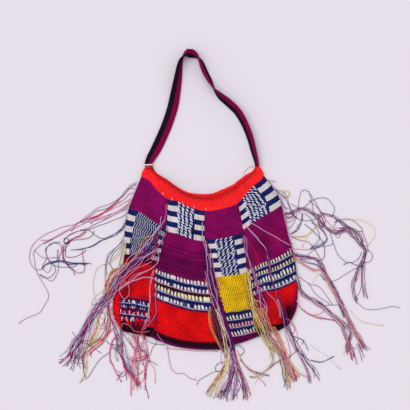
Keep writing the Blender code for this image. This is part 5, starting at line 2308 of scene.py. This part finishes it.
@dataclass
class Strap:
    """The flat plaited strap, black on one side of its middle and magenta on the other."""

    shop: Workshop
    rows: int = 176
    columns: int = 6

    def section(self, place: np.ndarray) -> tuple[np.ndarray, np.ndarray, np.ndarray]:
        """Read the strap at places along it.

        Args:
            place: Places counted in the strap's stations.

        Returns:
            The middles, the steps across the whole width, and the directions along.
        """
        last = len(STRAP) - 1
        place = np.clip(place, 0.0, last)
        row = spline(STRAP, place)
        lean = np.radians(row[:, 2])
        ahead = spline(STRAP, np.minimum(place + 0.05, last))[:, :2]
        behind = spline(STRAP, np.maximum(place - 0.05, 0.0))[:, :2]
        along = unit_rows(np.column_stack((ahead - behind, np.zeros(len(place)))))
        outward = np.column_stack((-along[:, 1], along[:, 0], np.zeros(len(place))))
        across = outward * np.cos(lean)[:, None]
        across[:, 2] += np.sin(lean)
        low = 0.5 * row[:, 3] * np.abs(np.sin(lean))
        low += 0.5 * STRAP_THICKNESS * np.abs(np.cos(lean))
        height = low + np.maximum(row[:, 4], 0.0) + FLOOR_LIFT + 1.2 * np.abs(np.sin(lean))
        middle = np.column_stack((row[:, :2], height))
        return middle, across * row[:, 3][:, None], along

    def even_places(self, count: int) -> np.ndarray:
        """Space places evenly along the strap's length.

        Args:
            count: How many.

        Returns:
            The places, counted in stations.
        """
        dense = np.linspace(0.0, len(STRAP) - 1, 600)
        spans = np.linalg.norm(np.diff(spline(STRAP, dense)[:, :2], axis=0), axis=1)
        reach = np.concatenate(([0.0], np.cumsum(spans)))
        return np.interp(np.linspace(0.0, reach[-1], count), reach, dense)

    @staticmethod
    def colour(side: np.ndarray) -> np.ndarray:
        """Return the colours at shares across, from -0.5 to 0.5."""
        return np.where((side > 0)[:, None], TINTS["B"], TINTS["S"])

    def cloth(self) -> bpy.types.Object:
        """Make the ribbon.

        Returns:
            The piece.
        """
        columns, rows = RIBBON_GRID
        place = np.repeat(self.even_places(rows + 1), columns + 1)
        side = np.tile(np.linspace(-0.46, 0.46, columns + 1), rows + 1)
        middle, across, along = self.section(place)
        up = unit_rows(np.cross(along, across))
        core = middle + across * side[:, None]
        # Painted shade: the ribbon under the plaiting is painted at half its yarn's brightness so
        # the gaps read as shade.
        tint = self.colour(side) * 0.5
        return closed_sheet(
            "strap_ribbon", (columns, rows), core + up * 0.8, core - up * 0.8, tint,
            self.shop.ground,
        )

    def stitches(self) -> bpy.types.Object:
        """Lay the plaiting on both faces and the two edges.

        Returns:
            The piece.
        """
        loops = Loops()
        ends = self.even_places(self.rows + 1)
        place = 0.5 * (ends[1:] + ends[:-1])
        middle, across, along = self.section(place)
        start, end = self.section(ends[:-1])[0], self.section(ends[1:])[0]
        for facing in (1.0, -1.0):
            up = unit_rows(np.cross(along, across)) * facing
            for column in range(self.columns):
                side = (column + 0.5) / self.columns - 0.5
                cells = Cells(
                    middle + across * side, across / self.columns, end - start, up
                )
                tint = self.shop.mottled(self.colour(np.full(self.rows, side)))
                lean = 0.6 if column % 2 else -0.6
                loops.bar(cells, tint, lean, width=0.66, length=1.12, thick=1.1, rise=0.85)
        for side in (-0.5, 0.5):
            out = unit_rows(across) * math.copysign(1.0, side)
            thick = unit_rows(np.cross(along, across)) * STRAP_THICKNESS
            cells = Cells(middle + across * (side * 0.94), thick, end - start, out)
            tint = self.shop.mottled(self.colour(np.full(self.rows, side)))
            loops.bar(cells, tint, lean=0.5, width=0.8, length=1.1, thick=1.2, rise=0.2)
        return self.shop.lay("strap_stitches", loops, sides=4, spans=2, sway=0.06)

    def ties(self) -> bpy.types.Object:
        """Spin the white thread round the strap's left end and the loose threads by both ends.

        Returns:
            The piece.
        """
        chains = Chains()
        middle, across, _ = self.section(np.array([TIE_PLACE]))
        wide = 0.5 * np.linalg.norm(across[0]) + 0.7
        high = 0.5 * STRAP_THICKNESS + 0.9
        turn = np.linspace(0.0, math.tau, 48, endpoint=False)
        aside = wide * np.sign(np.cos(turn)) * np.abs(np.cos(turn)) ** 0.4
        above = high * np.sign(np.sin(turn)) * np.abs(np.sin(turn)) ** 0.4
        ring = middle + unit_rows(across) * aside[:, None]
        ring[:, 2] += above + 0.3
        chains.add(ring, 1.25, TINTS["W"] * 1.2, closed=True)
        for letter, girth, points in LOOSE_THREADS:
            route = Route(points)
            line = route.at(np.linspace(0.0, 1.0, 3 + int(route.length / 3.0)))
            chains.add(line, girth, TINTS[letter])
        return self.shop.spin("strap_tie_thread", chains, sides=6)


@dataclass
class Relief:
    """The height of what loose yarn lies on, on a grid over the table."""

    cell: float = 2.0
    low: float = -420.0
    count: int = 420

    def __post_init__(self) -> None:
        """Start with the bare table."""
        self.grid = np.zeros((self.count, self.count))

    def add(self, points: np.ndarray, cover: float) -> None:
        """Raise the grid to a face's points and the loops over them."""
        index = np.floor((points[:, :2] - self.low) / self.cell).astype(int)
        np.maximum.at(self.grid, (index[:, 0], index[:, 1]), points[:, 2] + cover)

    def widen(self) -> None:
        """Spread every height to the cells round it."""
        wide = np.pad(self.grid, 1, mode="edge")
        shifted = [
            wide[1 + dx:1 + dx + self.count, 1 + dy:1 + dy + self.count]
            for dx in (-1, 0, 1) for dy in (-1, 0, 1)
        ]
        self.grid = np.max(shifted, axis=0)

    def at(self, plan: np.ndarray) -> np.ndarray:
        """Read the heights.

        Args:
            plan: Plan points, one a row.

        Returns:
            The height at each point.
        """
        place = (plan - self.low) / self.cell - 0.5
        index = np.clip(np.floor(place).astype(int), 0, self.count - 2)
        share = np.clip(place - index, 0.0, 1.0)
        x, y = index[:, 0], index[:, 1]
        u, v = share[:, 0], share[:, 1]
        near = self.grid[x, y] * (1 - u) + self.grid[x + 1, y] * u
        far = self.grid[x, y + 1] * (1 - u) + self.grid[x + 1, y + 1] * u
        return near * (1 - v) + far * v


@dataclass
class Fringe:
    """The yarn ends that hang from one seam or edge."""

    name: str
    hanks: tuple[tuple[str, int, float, str], ...]
    relief: Relief
    shop: Workshop

    def build(self) -> bpy.types.Object:
        """Spin every strand of every hank.

        Returns:
            The piece.
        """
        chains = Chains()
        for tints, count, spread, path in self.hanks:
            route = Route([pair.split(",") for pair in path.split()])
            order = self.shop.random.permutation(count)
            for number in range(count):
                place = (order[number] + 0.5) / count - 0.5
                self.add_strand(chains, route, tints[number % len(tints)], place, spread, count)
        return self.shop.spin(self.name + "_yarn", chains)

    def add_strand(
        self, chains: Chains, route: Route, letter: str, place: float, spread: float, count: int
    ) -> None:
        """Add one strand beside the others of its hank.

        Args:
            chains: Where it goes.
            route: The hank's middle.
            letter: Its colour.
            place: Where it lies across the hank, from -0.5 to 0.5.
            spread: The hank's width in millimetres.
            count: How many strands the hank has.
        """
        random = self.shop.random
        steps = max(5, int(route.length / STRAND_STEP))
        bunched = count > 2
        start, end = 0.0, 1.0
        if bunched:
            start, end = random.uniform(0.0, 0.03), 1.0 - random.uniform(0.0, 0.05)
        share = np.linspace(start, end, steps + 1)
        line = self.wander(route, share, place, spread)
        pale = letter in PALE_THREADS
        girth = random.uniform(*GIRTHS) * (0.88 if bunched else 1.0)
        girth += 0.1 if pale else 0.0
        height = self.relief.at(line) + girth + random.uniform(0.05, 1.6) * min(1.0, 0.4 * count)
        height += 0.9 if pale and bunched else 0.0
        self.ease(height, STEEPEST * route.length * (end - start) / steps)
        reach = share * route.length
        tip = np.clip((reach - reach[-1] + TIP) / TIP, 0.0, 1.0)
        tint = TINTS[letter] * random.normal(1.0, 0.1) * (1.0 - 0.55 * tip)[:, None]
        girths = girth * (1.0 + 0.35 * tip)
        girths[-1] *= 0.55
        chains.add(np.column_stack((line, height)), girths, tint)

    def wander(
        self, route: Route, share: np.ndarray, place: float, spread: float
    ) -> np.ndarray:
        """Let a strand stray from its hank's middle in slow waves, and flare at its tip.

        Args:
            route: The hank's middle.
            share: The strand's shares of the route.
            place: Where it lies across the hank, from -0.5 to 0.5.
            spread: The hank's width in millimetres.

        Returns:
            Its plan points.
        """
        random = self.shop.random
        line = route.at(share)
        ahead = unit_rows(np.gradient(line, axis=0))
        side = np.column_stack((-ahead[:, 1], ahead[:, 0]))
        offset = spread * place * (0.7 + 0.6 * share)
        reach = share * route.length
        for low, high, size in WAVES:
            wave = np.sin(reach * math.tau / random.uniform(low, high) + random.uniform(0, 6.3))
            offset = offset + wave * (size * spread + 0.35)
        flare = random.normal(0.0, 0.5 + 0.12 * spread)
        offset = offset + flare * np.clip((share - 0.85) / 0.15, 0.0, 1.0) ** 2
        return line + side * offset[:, None]

    @staticmethod
    def ease(height: np.ndarray, rise: float) -> None:
        """Lift heights until none is more than a rise below the one beside it.

        Args:
            height: The heights along a strand, which change in place.
            rise: How far one may lie below the next.
        """
        for index in range(1, len(height)):
            height[index] = max(height[index], height[index - 1] - rise)
        for index in range(len(height) - 2, -1, -1):
            height[index] = max(height[index], height[index + 1] - rise)


def build_disc(shop: Workshop) -> bpy.types.Object:
    """Make the small flat shell disc with rounded edges.

    Args:
        shop: The shared finishes.

    Returns:
        The piece.
    """
    turns = np.linspace(0.0, math.tau, DISC_SIDES, endpoint=False)
    low, high = FLOOR_LIFT, FLOOR_LIFT + DISC_THICKNESS
    # Share of the radius and height, from the lower face up round the edge to the middle
    profile = (
        (0.93, low), (1.0, low + 0.5), (1.0, high - 0.7), (0.94, high - 0.15), (0.86, high),
        (0.7, high - 0.1), (0.0, high - 0.35),
    )
    sheet = bmesh.new()
    x, y = DISC_PLACE
    rings = [
        [
            sheet.verts.new((
                (x + DISC_RADIUS * share * math.cos(turn)) * MM,
                (y + DISC_RADIUS * share * math.sin(turn)) * MM, height * MM,
            ))
            for turn in turns
        ]
        for share, height in profile[:-1]
    ]
    for inner, outer in zip(rings, rings[1:]):
        for index in range(len(turns)):
            after = (index + 1) % len(turns)
            sheet.faces.new((inner[index], inner[after], outer[after], outer[index]))
    sheet.faces.new(rings[0][::-1])
    middle = sheet.verts.new((x * MM, y * MM, profile[-1][1] * MM))
    for index in range(len(turns)):
        sheet.faces.new((rings[-1][index], rings[-1][(index + 1) % len(turns)], middle))
    mesh = bpy.data.meshes.new("shell_disc")
    sheet.to_mesh(mesh)
    sheet.free()
    mesh.shade_smooth()
    mesh.materials.append(shop.shell)
    return shop.placed(added("shell_disc", mesh))


def build_edges(shop: Workshop) -> bpy.types.Object:
    """Lay the joining stitches along the inner seams and round both layers' outer edges.

    Args:
        shop: The shared trees, finishes and random numbers.

    Returns:
        The piece.
    """
    loops = Loops()
    for index in (1, 2, 3):
        lay_seam(shop, loops, Gore(index))
    for back in (False, True):
        gores = [Gore(index, back) for index in range(4)]
        for route in (gores[0].left, gores[3].right):
            lay_edge(shop, loops, route, back, "MVMPDM")
        for gore in gores:
            lay_edge(shop, loops, gore.foot, back, "KKKDK")
    return shop.lay("edge_stitches", loops, sides=4, spans=3, sway=0.1)


def lay_seam(shop: Workshop, loops: Loops, gore: Gore) -> None:
    """Lay crossing loops along a gore's left seam.

    Args:
        shop: The shared random numbers.
        loops: Where the bars go.
        gore: The gore.
    """
    share = spaced(gore.left.length, SEAM_STITCH)
    count = len(share)

    def point(u: np.ndarray, v: np.ndarray) -> np.ndarray:
        """Return points by the seam, u millimetres from it."""
        spot = gore.surface(np.zeros(len(u)), np.clip(v, 0.0, 1.0))
        spot[:, 0] += u
        return spot

    cells = Cells.of(point, np.zeros(count), share, 2.0, 0.5 / count, UP)
    tint = shop.mottled(letters_of("VMVDVM", np.arange(count)))
    loops.cross(cells, tint, thick=1.5, rise=0.2)


def lay_edge(shop: Workshop, loops: Loops, route: Route, back: bool, letters: str) -> None:
    """Lay leaning bars along the outside of a layer's edge.

    Args:
        shop: The shared random numbers.
        loops: Where the bars go.
        route: The edge.
        back: Whether it is the back layer's.
        letters: The colours, which repeat.
    """
    share = spaced(route.length, EDGE_STITCH)
    count = len(share)
    line = route.at(share)
    ahead = unit_rows(route.at(share + 0.004) - route.at(share - 0.004))
    out = np.column_stack((-ahead[:, 1], ahead[:, 0], np.zeros(count)))
    away = np.column_stack((line - np.array(BAG_MIDDLE), np.zeros(count)))
    out *= np.where((out * away).sum(axis=1) < 0, -1.0, 1.0)[:, None]
    middle = 0.5 * CLOTH + (0.75 if back else CLOTH + LAYER_GAP - 0.1)
    spot = np.column_stack((line, np.full(count, middle)))
    below = np.tile((0.0, 0.0, -CLOTH), (count, 1))
    across = np.column_stack((ahead * EDGE_STITCH, np.zeros(count)))
    tint = shop.mottled(letters_of(letters, np.arange(count)))
    loops.bar(
        Cells(spot, across, below, out), tint, lean=0.35, width=0.7, length=0.85, thick=1.2,
        rise=0.1,
    )


def build_table() -> None:
    """Make the table under the bag."""
    bpy.ops.mesh.primitive_plane_add(size=6.0, location=(0.0, 0.0, -TABLE_DROP * MM))
    table = bpy.context.object
    table.name = "table"
    table.data.materials.append(TableFinish("pale_table").make())


def build_light() -> None:
    """Light the scene from a pale room and a soft window."""
    scene = bpy.context.scene
    scene.view_settings.view_transform = "Standard"
    world = bpy.data.worlds.new("studio")
    world.use_nodes = True
    room = world.node_tree.nodes["Background"]
    room.inputs["Color"].default_value = (0.97, 0.96, 1.0, 1.0)
    room.inputs["Strength"].default_value = 0.78
    scene.world = world
    lamp = bpy.data.lights.new("window_light", "SUN")
    lamp.energy = 1.55
    lamp.angle = 1.0
    holder = added("window_light", lamp)
    holder.rotation_mode = "QUATERNION"
    holder.rotation_quaternion = Vector((0.42, -0.40, -1.0)).to_track_quat("-Z", "Y")


def build_camera() -> None:
    """Hang the camera straight over the bag."""
    lens = bpy.data.cameras.new("camera")
    lens.lens = LENS
    lens.sensor_width = SENSOR
    lens.clip_start, lens.clip_end = 0.1, 20.0
    camera = added("camera", lens)
    x, y, z = VIEW_MIDDLE
    camera.location = (x, y, z + VIEW_WIDTH * LENS / SENSOR)
    bpy.context.scene.camera = camera


@dataclass
class StringBag:
    """The whole bag."""

    shop: Workshop = field(default_factory=Workshop)
    relief: Relief = field(default_factory=Relief)

    def build(self) -> None:
        """Build every piece in order: yarn ends, gores, rims, strap and disc."""
        fringes = self.build_fringes()
        for back in (True, False):
            for index in range(4):
                cloth = GoreCloth(Gore(index, back), GORE_CHARTS[index], self.shop)
                self.declare(cloth)
        self.build_rims()
        self.build_strap()
        disc = build_disc(self.shop)
        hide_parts("disc")

    def build_strap(self) -> None:
        """Build the strap with its tie and hide the strap's parts from the model."""
        strap = Strap(self.shop)
        ribbon, plait, ties = strap.cloth(), strap.stitches(), strap.ties()
        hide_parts("strap")
        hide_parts("strap_tie")
        middles = strap.section(strap.even_places(300))[0]
        length = float(np.linalg.norm(np.diff(middles, axis=0), axis=1).sum())

    def build_fringes(self) -> dict[str, bpy.types.Object]:
        """Spin the loose yarn of every fringe.

        Returns:
            The pieces by their fringe's name.
        """
        self.raise_relief()
        pieces = {}
        for name, hanks in FRINGES.items():
            piece = Fringe(name, hanks, self.relief, self.shop).build()
            LOG.info("%s: %d faces", name, len(piece.data.polygons))
            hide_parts(name)
            pieces[name] = piece
        return pieces

    def raise_relief(self) -> None:
        """Find the height of what the loose yarn lies on: cloth, rims and disc."""
        shares = np.linspace(0.0, 1.0, 180)
        u, v = (grid.ravel() for grid in np.meshgrid(shares, shares, indexing="ij"))
        for index in range(4):
            self.relief.add(Gore(index).surface(u, v), 1.2)
            self.relief.add(Gore(index, True).surface(u, v), CLOTH + 1.0)
        for back in (False, True):
            rim = Rim(self.shop, back)
            self.relief.add(rim.point(u * rim.last, v), CLOTH + 1.0 if back else 1.6)
        turn, reach = u * math.tau, v * DISC_RADIUS
        self.relief.add(
            np.column_stack((
                DISC_PLACE[0] + reach * np.cos(turn), DISC_PLACE[1] + reach * np.sin(turn),
                np.full(len(u), DISC_THICKNESS + FLOOR_LIFT),
            )), 0.1,
        )
        self.relief.widen()

    def declare(self, cloth: GoreCloth) -> None:
        """Build one gore, log the face count of its stitches and hide its part from the model.

        Args:
            cloth: The gore.
        """
        ground, stitches = cloth.cloth(), cloth.stitches()
        LOG.info("%s: %d faces", cloth.name, len(stitches.data.polygons))
        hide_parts(cloth.name)
        flat, area = cloth.flat()

    def build_rims(self) -> None:
        """Build both sides of the mouth and the joining stitches."""
        edges = build_edges(self.shop)
        for back in (True, False):
            rim = Rim(self.shop, back)
            cloth, stitches = rim.cloth(), rim.stitches()
            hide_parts(side_name(back, "rim"))
            flat, area = rim.flat()


def main() -> None:
    """Build the whole scene."""
    logging.basicConfig(level=logging.INFO, format="%(message)s")
    build_table()
    build_light()
    build_camera()
    StringBag().build()


if __name__ == "__main__":
    main()
